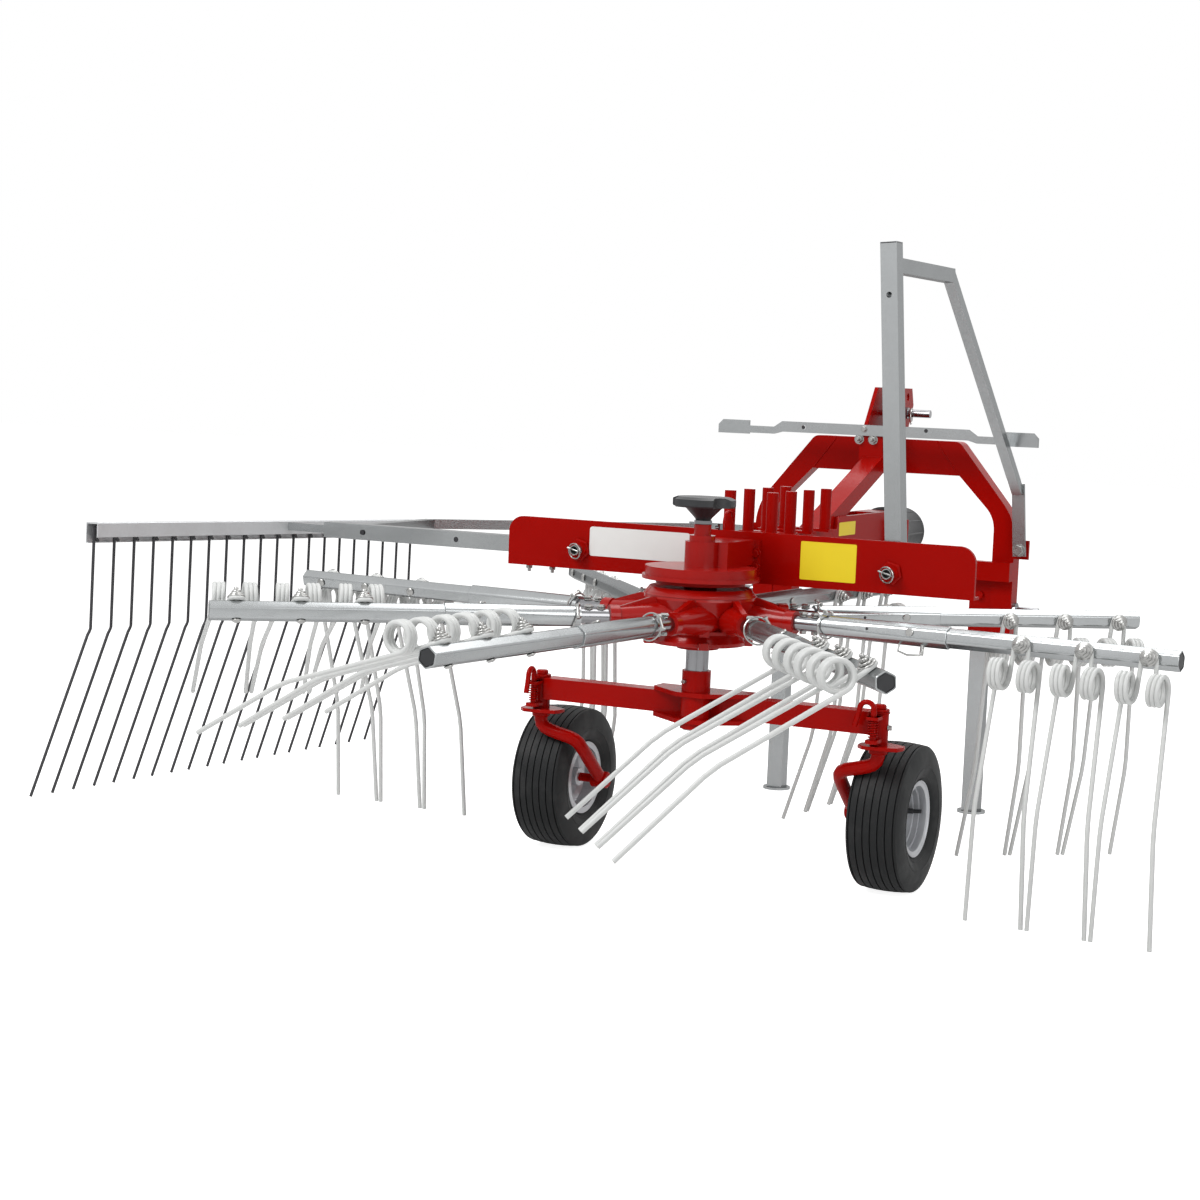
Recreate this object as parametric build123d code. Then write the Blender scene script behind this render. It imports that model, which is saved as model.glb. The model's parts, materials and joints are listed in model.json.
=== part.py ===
"""Single-rotor hay rake on a three-point headstock, one STEP file per piece.

Millimetres. +X to the machine's right, +Y forward to the tractor, +Z up, the floor at z = 0 and the
rotor axis at x = 0, y = 0.
"""

import math
import os

from build123d import *

os.makedirs("parts", exist_ok=True)

# Clearances and contact
MOVE_GAP = 8.0            # free space kept between pieces that move past each other
RUN_GAP = 0.1             # radial play of a shaft in its tube
FLOOR_GAP = 12.0          # hanging tine tips above the floor

# Rotor
ARM_COUNT = 8
TIP_R = 1300.0            # end of an arm
TINE_DROP = 712.0         # tine tip below its arm axis when it hangs
ARM_Z = TINE_DROP + FLOOR_GAP
FIRST_ARM_DEG = -5.9      # direction of arm 1 from +X, seen from above
ARM_OFFSET = 58.0         # how far each arm's line passes from the rotor axis, to the leading side
# Lift of each arm's tines to the trailing side
ARM_ROLL_DEG = (9.0, -8.0, -8.0, -2.0, 14.0, 64.0, 69.0, 56.0)
HUB_R = 96.0
HUB_WAIST_R = 70.0
HUB_LOW = 40.0            # foot of the hub below the arm axes
HUB_TOP = 78.0            # top of the hub above them
SOCKET_ROOT_R = 44.0      # sockets taper outwards from this
SOCKET_R = 27.0
SOCKET_END = 262.0
SOCKET_COLLAR_R = 31.0
SOCKET_COLLAR = 26.0
STUB_R = 20.0
STUB_START = 200.0
RIB_T = 14.0
SLEEVE_START = 340.0
SLEEVE_END = 700.0
SLEEVE_AF = 54.0
SLEEVE_RING_R = 33.0       # ring at the inner end of a sleeve
TUBE_AF = 47.0
TUBE_WALL = 4.0
HUB_FLANGE_R = 152.0      # widest part of the cone over the sockets
HUB_TOP_R = 136.0
HUB_FLANGE_T = 20.0
LOW_PLATE_R = 126.0       # plate under the sockets, with lugs at its edge
LOW_PLATE_T = 9.0
LUG_R = 141.0
LUG_W = 26.0
LUG_T = 17.0
LUGS = 4

# Double tines
TINE_PITCH = 163.0
TINES_PER_ARM = 3
TINE_END = 69.0           # outermost bolt from the end of the arm
TINE_FIRST_R = TIP_R - TINE_END - (TINES_PER_ARM - 1) * TINE_PITCH
WIRE_D = 10.0
COIL_OD = 80.0
COIL_TURNS = 3
COIL_SIDES = 8
COIL_TURN_DEG = 13.0
WIRE_SIDES = 4
COIL_HALF_SPAN = 40.0     # coil centre from its bolt, along the arm
COIL_DROP = 78.0          # coil centre below the arm axis
LEG_SPREAD = 18.0         # how far each leg's tip leans away from its coil
BEND_AT = 0.55            # share of the leg above its bend
UPPER_LEAN = -0.07        # sideways travel of a leg per mm of drop, above the bend (minus is trailing)
LOWER_LEAN = 0.16         # the same below the bend
WASHER_R = 23.0
WASHER_T = 12.0
BOLT_HEAD = 10.0

# Centre
SHAFT_R = 31.0
CENTRE_TUBE_R = 44.0
HUB_BORE_R = CENTRE_TUBE_R + RUN_GAP
CENTRE_TUBE_DROP = 88.0
CENTRE_TUBE_LOW = ARM_Z - CENTRE_TUBE_DROP
CENTRE_COLLAR_H = 20.0
CAM_HOUSE_R = 120.0
CAM_HOUSE_LOW = ARM_Z + HUB_TOP + MOVE_GAP
COVER_R = 150.0
CAM_HOUSE_H = 12.0
COVER_Z = CAM_HOUSE_LOW + CAM_HOUSE_H
COVER_T = 34.0
HEAD_R = 46.0
FLANGE_HALF = 88.0        # bolted flange on the cross plate
FLANGE_STEP = 4.0         # flange above the foot of the cover
FLANGE_LOW = COVER_Z + FLANGE_STEP
HEAD_H = 68.0
HEAD_TOP = COVER_Z + COVER_T + HEAD_H
POST_R = 23.0
POST_H = 45.0
POST_TOP = HEAD_TOP + POST_H
WHEEL_NUT = 12.0
WHEEL_R = 86.0
WHEEL_T = 27.0
WHEEL_LOBES = 3
WHEEL_RISE = 60.0
WHEEL_Z = POST_TOP + WHEEL_RISE

# Frame
HEAD_Y = 1480.0           # middle of the headstock
BEAM_RISE = 158.0
BEAM_Z = ARM_Z + BEAM_RISE
BEAM_H = 80.0
BEAM_W = 90.0
PLATE_Y = 205.0
PLATE_HALF = 695.0
PLATE_T = 12.0
PLATE_RISE = 80.0
PLATE_LOW = ARM_Z + PLATE_RISE
PLATE_H = 140.0
PLATE_CORNER = 45.0
PLATE_LIP = 35.0
BOSS_R = 24.0             # boss of a guard hinge on the rear of the plate
BOSS_L = 16.0
PEG_R = 16.5
PEG_H = 118.0
PEG_ROW = 64.0
PEG_FIRST_Y = 330.0
PEG_PITCH = 140.0
PEGS_PER_ROW = 4
STRAP_T = 8.0

LEG_OUT = 442.0           # outer face of a headstock leg
LEG_W = 70.0
LEG_D = 64.0
LEG_LOW = 520.0
CROSS_D = 40.0            # cross tube behind the legs, front to back
CROSS_H = 60.0
CROSS_TOP = BEAM_Z - BEAM_H / 2 - 24.0
ARCH_RISE = 466.0
ARCH_TOP = ARM_Z + ARCH_RISE
ARCH_H = 108.0
ARCH_FLAT_HALF = 245.0    # corner of top edge and shoulder, before rounding
SHOULDER_DROP = 240.0
SHOULDER_Z = ARCH_TOP - SHOULDER_DROP    # corner of shoulder and leg, before rounding
WINDOW_HALF = 250.0       # the same two corners of the window
WINDOW_DROP = 234.0
WINDOW_Z = ARCH_TOP - WINDOW_DROP
TOP_ROUND = 30.0
SHOULDER_ROUND = 190.0
WINDOW_ROUND = 100.0
HINGE_PLATE_T = 12.0
BRACE_W = 65.0
BRACE_H = 52.0
BRACE_FOOT_Y = 850.0
BRACE_DROP = 40.0
BRACE_TOP_Z = ARCH_TOP - BRACE_DROP
BEAM_BOX_H = 36.0         # raised box of the beam ahead of the brace
BEAM_BOX_Y = 905.0
STRIP_HALF = 535.0
STRIP_BLOCK = 108.0       # length of an end block
STRIP_LOW_RUN = 87.0      # lower stretch next to it
STRIP_SLOPE = 28.0
STRIP_RAISED = STRIP_HALF - STRIP_BLOCK - STRIP_LOW_RUN - STRIP_SLOPE    # half length of its raised middle
STRIP_DIP = 19.0          # drop of its upper edge between them
STRIP_BACK = 120.0        # strip behind the headstock's rear face
STRIP_RISE = 25.0
STRIP_Z = ARCH_TOP + STRIP_RISE
STRIP_H = 34.0
STRIP_T = 10.0
STRIP_PLATE = 48.0        # half width of the bracket that carries it
TOP_PIN_H = 549.0         # top link pin above the arms
TOP_PIN_Z = ARM_Z + TOP_PIN_H
MAST_HEIGHT = 610.0       # top link pin above the lower link pins
EAR_TOP = 80.0            # ear above its pin
EAR_LEAN = 84.0           # slant of the rear edge of an ear
TOP_PIN_R = 12.5
TOP_PIN_Y = HEAD_Y + 28.0
CLEVIS_T = 12.0
CLEVIS_GAP = 52.0
LOWER_PIN_Z = TOP_PIN_Z - MAST_HEIGHT
LOWER_PIN_R = 14.0
LOWER_PIN_L = 80.0
PTO_R = 17.4
PTO_SEAT_R = 22.0
PTO_L = 90.0
CONE_R = 135.0
CONE_FRONT_R = 105.0
CONE_L = 200.0
CONE_WALL = 5.0

# Guards
GUARD_X = 464.0
GUARD_RISE = 56.0
GUARD_Z = PLATE_LOW + GUARD_RISE
GUARD_L = 878.0
GUARD_SIDE = 511.0
GUARD_LEG_W = 46.0        # rear leg across its flat, upright when lowered
GUARD_LEG_T = 50.0        # rear leg front to back
GUARD_W = 40.0
GUARD_T = 30.0
GUARD_END = 40.0          # leg left beyond the side bar
GUARD_FOLD_DEG = 94.0     # folded guard leans in past upright
GUARD_HOLE = 140.0        # pin hole from the end of the leg
GUARD_REAR_Y = PLATE_Y + PLATE_T / 2 + MOVE_GAP + GUARD_LEG_T / 2   # rear legs lie ahead of the plate
ARM_HALF = 12.0           # half the section of the bar that slides in the rear leg
GUARD_BORE = 520.0
GUARD_STEP = 190.0        # upright part of the front leg next to its hinge

# Curtain
CURTAIN_REACH = 158.0     # curtain beyond the end of the guard leg
CURTAIN_X = GUARD_X + GUARD_L + CURTAIN_REACH
CURTAIN_BACK = -700.0
CURTAIN_FRONT = 1000.0
CURTAIN_TILT = 1.9        # degrees, the bar's rear end held higher
CURTAIN_RODS = 20
ARM_INSIDE = 400.0        # length of the sliding bar kept in the guard leg
ROD_FIRST_Y = -676.0
ROD_PITCH = 86.4
ROD_R = 4.0
ROD_UPPER = 280.0
ROD_LOWER = 440.0
ROD_OUT = 80.0
ROD_BACK = 170.0
BAR_W = 50.0
BAR_H = 45.0
BAR_T = 4.0

# Undercarriage
AXLE_Z = 477.0
AXLE_S = 60.0
SLEEVE_WALL = 8.0
SLEEVE_UP = 100.0         # axle sleeve above the beam axis
SLEEVE_DOWN = 58.0
SLEEVE_LAND = 4.0         # sleeve let into the beam
AXLE_Y = SHAFT_R + SLEEVE_WALL + AXLE_S / 2 - SLEEVE_LAND
CLAMP_HALF = 140.0        # half width of the plates between sleeve and beam
CLAMP_T = 12.0
CASTOR_X = 500.0
CASTOR_TRAIL = 165.0
CASTOR_PIN_R = 16.0
CASTOR_TUBE_R = 24.0
CASTOR_TUBE_UP = 28.0     # pivot tube above and below the beam axis
CASTOR_TUBE_DOWN = 59.0
CASTOR_ARM_X = 385.0      # straight part of the arm, inside the wheel
LOCK_PLATE_OUT = 66.0     # notched plate under the pivot, outwards and rearwards
LOCK_PLATE_BACK = 62.0
LOCK_PLATE_T = 10.0
LOCK_PIN_R = 8.0
LOCK_PIN_BACK = 50.0      # lock pin behind the pivot
TYRE_R = 203.0
TYRE_W = 160.0
RIM_R = 104.0
RIM_W = 152.0
AXLE_PIN_R = 12.5
FORK_R = 18.0
HUB_TUBE_R = 24.0

# Stands
STAND_S = 52.0
SOCKET_WALL = 8.0
STAND_X = LEG_OUT - LEG_W - STAND_S / 2 - RUN_GAP - SOCKET_WALL
STAND_Y = HEAD_Y + 6.0
STAND_TOP = 672.0
SOCKET_LOW = 570.0
SOCKET_HIGH = 795.0
FOOT_R = 45.0
FOOT_T = 8.0


def block(x0, x1, y0, y1, z0, z1):
    """Box between two corners."""
    return Pos((x0 + x1) / 2, (y0 + y1) / 2, (z0 + z1) / 2) * Box(abs(x1 - x0), abs(y1 - y0), abs(z1 - z0))


def rod(p, q, r):
    """Round bar from p to q."""
    p, q = Vector(*p), Vector(*q)
    return extrude(Plane(origin=p, z_dir=q - p) * Circle(r), amount=(q - p).length)


def poly_bar(p, q, w, h, up=(0, 0, 1), over=0.0):
    """Rectangular bar from p to q, w across and h along `up`."""
    p, q = Vector(*p), Vector(*q)
    d = (q - p).normalized()
    side = d.cross(Vector(*up)).normalized()
    pl = Plane(origin=p - d * over, x_dir=side, z_dir=d)
    return extrude(pl * Rectangle(w, h), amount=(q - p).length + 2 * over)


def wire(points, r, sides=WIRE_SIDES):
    """Many-sided wire along straight runs with mitred bends."""
    path = Polyline(*points)
    start = Plane(origin=path @ 0, z_dir=path % 0)
    return sweep(start * RegularPolygon(r, sides), path=path, transition=Transition.RIGHT)


def swept(points, bend, section):
    """Section swept along straight runs joined by tangent arcs."""
    path = FilletPolyline(*points, radius=bend)
    start = Plane(origin=path @ 0, z_dir=path % 0)
    return sweep(start * section, path=path)


def mirror_x(shape):
    return mirror(shape, about=Plane.YZ)


def hexagon(af):
    """Hexagon across flats `af` in the plane of the arm's section, flats to the front and back."""
    r = af / math.sqrt(3)
    return RegularPolygon(r, 6, rotation=30)


def arm_place(index):
    """Location of arm `index`: its own x axis runs out along the arm, beside the rotor axis."""
    turn = FIRST_ARM_DEG + index * 360.0 / ARM_COUNT
    return Pos(0, 0, ARM_Z) * Rot(0, 0, turn) * Pos(0, ARM_OFFSET, 0)


def on_arm(shape, index):
    """Rolls a piece built on the +X axis, then sets it on arm `index`."""
    return arm_place(index) * Rot(-ARM_ROLL_DEG[index], 0, 0) * shape


def section_plane(x):
    """Plane across an arm at radius x, its x direction to the leading side."""
    return Plane(origin=(x, 0, 0), x_dir=(0, 1, 0), z_dir=(1, 0, 0))


def rotor_hub():
    """Cast hub: a waisted cone, a ribbed tapering socket for each arm, and a lugged plate below them."""
    core = HUB_BORE_R / 2
    brim = HUB_TOP - HUB_FLANGE_T
    body = [(core, -HUB_LOW - 12), (HUB_WAIST_R - 12, -HUB_LOW - 12), (HUB_WAIST_R, -HUB_LOW),
            (HUB_WAIST_R + 10, -HUB_LOW + LOW_PLATE_T), (HUB_WAIST_R, -HUB_LOW / 3),
            (HUB_WAIST_R, HUB_TOP / 4), (HUB_R, HUB_TOP / 2), (HUB_FLANGE_R, brim),
            (HUB_TOP_R, HUB_TOP), (core, HUB_TOP)]
    hub = Pos(0, 0, ARM_Z) * revolve(Plane.XZ * make_face(Polyline(*body, close=True)), axis=Axis.Z)
    inset = SOCKET_END - SOCKET_COLLAR
    taper = [(0, 0), (0, SOCKET_ROOT_R), (HUB_R, SOCKET_ROOT_R), (inset, SOCKET_R), (inset, SOCKET_COLLAR_R),
             (SOCKET_END, SOCKET_COLLAR_R), (SOCKET_END, 0)]
    socket = revolve(Plane.XZ * make_face(Polyline(*taper, close=True)), axis=Axis.X)
    rib = make_face(Polyline((0, -HUB_LOW + 2), (HUB_R, -HUB_LOW + 2), (inset + 2, -SOCKET_R),
                             (inset + 2, SOCKET_R), (HUB_FLANGE_R - 4, brim - 3), (0, brim - 3), close=True))
    socket += extrude(Plane(origin=(0, RIB_T / 2, 0), x_dir=(1, 0, 0), z_dir=(0, -1, 0)) * rib, amount=RIB_T)
    for k in range(ARM_COUNT):
        hub += arm_place(k) * socket
    low = ARM_Z - HUB_LOW
    plate = Cylinder(LOW_PLATE_R, LOW_PLATE_T, align=(Align.CENTER, Align.CENTER, Align.MIN))
    hub += Pos(0, 0, low) * plate
    lug = block(HUB_R, LUG_R, -LUG_W / 2, LUG_W / 2, low - 3, low - 3 + LUG_T)
    for k in range(LUGS):
        hub += Rot(0, 0, FIRST_ARM_DEG + (k * 2 + 0.8) * 360 / ARM_COUNT) * lug
    hub -= Pos(0, 0, ARM_Z) * Cylinder(HUB_BORE_R, 4 * HUB_TOP)
    bore = rod((STUB_START, 0, 0), (SOCKET_END + 1, 0, 0), STUB_R)
    for k in range(ARM_COUNT):
        hub -= arm_place(k) * bore
    return hub


def arm_stubs():
    """Turned shafts between the hub sockets and the sleeves."""
    stub = rod((STUB_START, 0, 0), (SLEEVE_START, 0, 0), STUB_R)
    return [on_arm(stub, k) for k in range(ARM_COUNT)]


def tine_arms():
    """Six-sided sleeve with a ring at its inner end, and the longer tube that slides in it."""
    sleeve = extrude(section_plane(SLEEVE_START) * hexagon(SLEEVE_AF), amount=SLEEVE_END - SLEEVE_START)
    sleeve += rod((SLEEVE_START, 0, 0), (SLEEVE_START + 8, 0, 0), SLEEVE_RING_R)
    tube = extrude(section_plane(SLEEVE_START) * hexagon(TUBE_AF), amount=TIP_R - SLEEVE_START)
    inside = section_plane(SLEEVE_END) * hexagon(TUBE_AF - 2 * TUBE_WALL)
    hollow = extrude(inside, amount=TIP_R - SLEEVE_END + 1)
    one = sleeve + tube - hollow
    return [on_arm(one, k) for k in range(ARM_COUNT)]


def double_tine():
    """One double tine on an arm whose tines hang straight down, its bolt at x = 0."""
    half = TUBE_AF / 2
    r = WIRE_D / 2
    ring = COIL_OD / 2
    face = -half - r - 0.5                    # wire plane just off the trailing face
    coil_y = face - ring + r                  # coils sit outboard of that plane
    width = COIL_TURNS * WIRE_D
    stack = WIRE_D + WASHER_T
    back = Plane(origin=(0, -half, 0), z_dir=(0, -1, 0))
    tine = extrude(back * RegularPolygon(WASHER_R * 0.6, 6), amount=stack + BOLT_HEAD)
    tine += extrude(back.offset(WIRE_D) * RegularPolygon(WASHER_R, 8), amount=WASHER_T)
    near = COIL_HALF_SPAN - width / 2 + r + 0.7
    loop = [(-near, face, -COIL_DROP), (-near, face, -6), (-near + 10, face, 15), (near - 10, face, 15),
            (near, face, -6), (near, face, -COIL_DROP)]
    tine += wire(loop, r)
    for s in (-1, 1):
        x = s * COIL_HALF_SPAN
        across = Plane(origin=(x - width / 2, coil_y, -COIL_DROP), x_dir=(0, 1, 0), z_dir=(1, 0, 0))
        turn = COIL_TURN_DEG
        coil = extrude(across * RegularPolygon(ring + 1, COIL_SIDES, rotation=turn), amount=width)
        coil -= extrude(across * RegularPolygon(ring - WIRE_D - 1, COIL_SIDES, rotation=turn), amount=width)
        tine += coil
        drop = TINE_DROP - COIL_DROP
        knee_y = face + UPPER_LEAN * drop * BEND_AT
        foot_y = knee_y + LOWER_LEAN * drop * (1 - BEND_AT)
        out = x + s * (width / 2 - r - 0.7)
        leg = [(out, face, -COIL_DROP), (out + s * LEG_SPREAD * BEND_AT, knee_y, -COIL_DROP - drop * BEND_AT),
               (out + s * LEG_SPREAD, foot_y, -TINE_DROP)]
        tine += wire(leg, r)
    return tine


def tines_of(index, one):
    return [on_arm(Pos(TINE_FIRST_R + k * TINE_PITCH, 0, 0) * one, index) for k in range(TINES_PER_ARM)]


def centre_tube():
    """Fixed red tube through the rotor that holds the sliding column."""
    high = CAM_HOUSE_LOW + 4
    tube = Pos(0, 0, (CENTRE_TUBE_LOW + high) / 2) * Cylinder(CENTRE_TUBE_R, high - CENTRE_TUBE_LOW)
    collar = Cylinder(CENTRE_TUBE_R + 12, CENTRE_COLLAR_H, align=(Align.CENTER, Align.CENTER, Align.MIN))
    tube += Pos(0, 0, CENTRE_TUBE_LOW) * collar
    tube += Pos(0, 0, (CAM_HOUSE_LOW + COVER_Z) / 2) * Cylinder(CAM_HOUSE_R, COVER_Z - CAM_HOUSE_LOW)
    tube -= Pos(0, 0, ARM_Z) * Cylinder(SHAFT_R + RUN_GAP, 4 * (ARM_Z - CENTRE_TUBE_LOW))
    return tube


def cam_cover():
    disc = Pos(0, 0, COVER_Z + COVER_T / 2) * Cylinder(COVER_R, COVER_T)
    disc += Pos(0, 0, COVER_Z + 5) * Cylinder(COVER_R + 8, 10)
    disc -= Pos(0, 0, COVER_Z) * Cylinder(SHAFT_R + RUN_GAP, 4 * COVER_T)
    return disc


def gearbox_head():
    """Casting over the cam cover: round body, arm to the flange bolted on the cross plate, and post."""
    low = COVER_Z + COVER_T
    back = PLATE_Y - PLATE_T / 2
    head = Pos(0, 0, (low + HEAD_TOP) / 2) * Cylinder(HEAD_R, HEAD_TOP - low)
    head += block(-BEAM_W * 0.42, BEAM_W * 0.83, 0, back - 14, low, HEAD_TOP)
    head += block(-FLANGE_HALF, FLANGE_HALF, back - 14, back, FLANGE_LOW, HEAD_TOP)
    head += Pos(0, 0, (HEAD_TOP + POST_TOP) / 2) * Cylinder(POST_R, POST_TOP - HEAD_TOP)
    head += Pos(0, 0, HEAD_TOP + 8) * Cylinder(POST_R + 12, 16)
    head -= Pos(0, 0, low) * Cylinder(SHAFT_R + RUN_GAP, 2 * 50)
    return head


def handwheel():
    """Thick wheel of three broad lobes on a cone above its nut."""
    hub_low = POST_TOP + WHEEL_NUT
    under = WHEEL_Z - WHEEL_T / 2
    dish = [(0, hub_low), (20, hub_low), (24, hub_low + 6), (WHEEL_R * 0.6, under), (WHEEL_R - 3, under),
            (WHEEL_R, under + 4), (WHEEL_R, WHEEL_Z + WHEEL_T / 2 - 6), (WHEEL_R - 14, WHEEL_Z + WHEEL_T / 2),
            (0, WHEEL_Z + WHEEL_T / 2)]
    wheel = revolve(Plane.XZ * make_face(Polyline(*dish, close=True)), axis=Axis.Z)
    for k in range(WHEEL_LOBES):
        scoop = Cylinder(WHEEL_R * 0.42, 3 * WHEEL_T)
        wheel -= Rot(0, 0, 90 + k * 360 / WHEEL_LOBES) * Pos(WHEEL_R * 1.2, 0, WHEEL_Z) * scoop
    return wheel + extrude(Pos(0, 0, POST_TOP) * RegularPolygon(22, 6), amount=WHEEL_NUT)


def cross_plate():
    """Upright rear guard plate with rounded upper corners and a lip along its foot."""
    y0, y1 = PLATE_Y - PLATE_T / 2, PLATE_Y + PLATE_T / 2
    face = block(-PLATE_HALF, PLATE_HALF, y0, y1, PLATE_LOW, PLATE_LOW + PLATE_H)
    top = PLATE_LOW + PLATE_H
    corners = face.edges().filter_by(Axis.Y).sort_by(Axis.Z)[-2:]
    face = fillet(corners, PLATE_CORNER)
    lip = block(-PLATE_HALF, PLATE_HALF, y1, y1 + PLATE_LIP, PLATE_LOW, PLATE_LOW + PLATE_T * 0.6)
    plate = face + lip
    for s in (-1, 1):
        plate += rod((s * GUARD_X, y0, GUARD_Z), (s * GUARD_X, y0 - BOSS_L, GUARD_Z), BOSS_R)
        pin_end = GUARD_REAR_Y + GUARD_LEG_T / 2 + BOSS_L
        plate += rod((s * GUARD_X, y0, GUARD_Z), (s * GUARD_X, pin_end, GUARD_Z), 14)
    return plate


def main_beam():
    """Box beam with its end plate, the straps under the pegs and the raised box ahead of the brace."""
    y0 = PLATE_Y + PLATE_T / 2
    y1 = HEAD_Y - LEG_D / 2 - 12
    top = BEAM_Z + BEAM_H / 2
    beam = block(-BEAM_W / 2, BEAM_W / 2, y0, y1, BEAM_Z - BEAM_H / 2, top)
    beam += block(-BEAM_W / 2 - 40, BEAM_W / 2 + 40, y0, y0 + 14, BEAM_Z - BEAM_H / 2, top + 14)
    for k in range(PEGS_PER_ROW):
        y = PEG_FIRST_Y + k * PEG_PITCH
        edge = PEG_R + 4
        beam += block(-PEG_ROW - edge, PEG_ROW + edge, y - edge, y + edge, top, top + STRAP_T)
    sides = Plane(origin=(-BEAM_W / 2, 0, 0), x_dir=(0, 1, 0), z_dir=(1, 0, 0))
    for s in (-1, 1):
        lug = Polyline((BEAM_BOX_Y, top - 4), (BEAM_BOX_Y + 16, top + BEAM_BOX_H), (y1, top + BEAM_BOX_H),
                       (y1, top - 4), close=True)
        wall = extrude(sides * make_face(lug), amount=(BEAM_W - BRACE_W) / 2 - 1)
        beam += wall if s < 0 else mirror_x(wall)
    beam += block(-BEAM_W / 2, BEAM_W / 2, y1 - 150, y1, top, top + BEAM_BOX_H)
    return beam


def storage_pegs():
    out = []
    low = BEAM_Z + BEAM_H / 2 + STRAP_T
    for s in (-1, 1):
        for k in range(PEGS_PER_ROW):
            y = PEG_FIRST_Y + k * PEG_PITCH
            out.append(rod((s * PEG_ROW, y, low), (s * PEG_ROW, y, low + PEG_H), PEG_R))
    return out


def headstock_arch():
    """Legs, sloped shoulders and top member cut from one rounded outline, with a tube between the legs."""
    inner = LEG_OUT - LEG_W
    under = ARCH_TOP - ARCH_H
    half = [(ARCH_FLAT_HALF, ARCH_TOP), (LEG_OUT, SHOULDER_Z), (LEG_OUT, LEG_LOW), (inner, LEG_LOW),
            (inner, WINDOW_Z), (WINDOW_HALF, under)]
    other = [(-x, z) for x, z in reversed(half)]
    pl = Plane(origin=(0, HEAD_Y + LEG_D / 2, 0), x_dir=(1, 0, 0), z_dir=(0, -1, 0))
    arch = extrude(pl * make_face(Polyline(*half, *other, close=True)), amount=LEG_D)
    for z, radius in ((SHOULDER_Z, SHOULDER_ROUND), (ARCH_TOP, TOP_ROUND), (WINDOW_Z, WINDOW_ROUND)):
        arch = fillet([e for e in arch.edges().filter_by(Axis.Y) if abs(e.center().Z - z) < 1], radius)
    rear = HEAD_Y - LEG_D / 2
    under_beam = BEAM_Z - BEAM_H / 2
    arch += block(-LEG_OUT, LEG_OUT, rear - CROSS_D, rear, CROSS_TOP - CROSS_H, CROSS_TOP)
    arch += block(-BEAM_W, BEAM_W, rear - CROSS_D, rear, CROSS_TOP, under_beam)
    arch += block(-BEAM_W, BEAM_W, rear - 12, rear, under_beam, BEAM_Z + BEAM_H / 2 + 10)
    for s in (-1, 1):
        arch += block(s * LEG_OUT, s * (GUARD_X + 24), rear, rear + HINGE_PLATE_T, GUARD_Z - 30, GUARD_Z + 30)
        arch += rod((s * GUARD_X, rear + 6, GUARD_Z), (s * GUARD_X, rear - 40, GUARD_Z), 10)
    arch -= rod((0, rear + 1, BEAM_Z), (0, rear - 13, BEAM_Z), PTO_SEAT_R + RUN_GAP)
    return arch


def brace():
    """Box diagonal from the beam up to the top member, with the bracket of the transport strip."""
    low = BEAM_Z + BEAM_H / 2
    rear = HEAD_Y - LEG_D / 2
    bar = poly_bar((0, BRACE_FOOT_Y, low), (0, rear, BRACE_TOP_Z), BRACE_W, BRACE_H, over=80)
    bar &= block(-BRACE_W, BRACE_W, BRACE_FOOT_Y - 4 * BRACE_H, rear, low, ARCH_TOP)
    front = rear - STRIP_BACK
    foot_low = BRACE_TOP_Z - 1.2 * BRACE_H
    return bar + block(-STRIP_PLATE, STRIP_PLATE * 0.6, front, front + MOVE_GAP, foot_low, STRIP_Z + 4)


def top_link_clevis():
    """Two sloped ears on a base plate, with a spare hole above the pin."""
    rear = HEAD_Y - LEG_D / 2
    lean = rear - STRIP_BACK + MOVE_GAP
    top = TOP_PIN_Z + EAR_TOP
    ear = Polyline((lean, ARCH_TOP + 15), (lean, ARCH_TOP + 45), (lean + EAR_LEAN, top),
                   (TOP_PIN_Y + 62, top), (TOP_PIN_Y + 82, top - 54), (HEAD_Y + 50, ARCH_TOP),
                   (rear, ARCH_TOP), close=True)
    side = Plane(origin=(CLEVIS_GAP / 2, 0, 0), x_dir=(0, 1, 0), z_dir=(1, 0, 0))
    wall = extrude(side * make_face(ear), amount=CLEVIS_T)
    for y, z in ((TOP_PIN_Y, TOP_PIN_Z), (TOP_PIN_Y + 22, TOP_PIN_Z + 52)):
        wall -= rod((0, y, z), (CLEVIS_GAP, y, z), TOP_PIN_R)
    edge = CLEVIS_GAP / 2 + CLEVIS_T
    base = block(-edge, edge, rear, HEAD_Y + LEG_D / 2, ARCH_TOP, ARCH_TOP + 10)
    return base + wall + mirror_x(wall)


def top_link_pin():
    half = CLEVIS_GAP / 2 + CLEVIS_T
    pin = rod((-half - 30, TOP_PIN_Y, TOP_PIN_Z), (half + 86, TOP_PIN_Y, TOP_PIN_Z), TOP_PIN_R)
    pin += rod((half, TOP_PIN_Y, TOP_PIN_Z), (half + 12, TOP_PIN_Y, TOP_PIN_Z), TOP_PIN_R + 6)
    return pin


def lower_link_pins():
    out = []
    for s in (-1, 1):
        start = (s * LEG_OUT, HEAD_Y, LOWER_PIN_Z)
        pin = rod(start, (s * (LEG_OUT + LOWER_PIN_L), HEAD_Y, LOWER_PIN_Z), LOWER_PIN_R)
        pin += rod(start, (s * (LEG_OUT + 10), HEAD_Y, LOWER_PIN_Z), LOWER_PIN_R + 12)
        out.append(pin)
    return out


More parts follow.
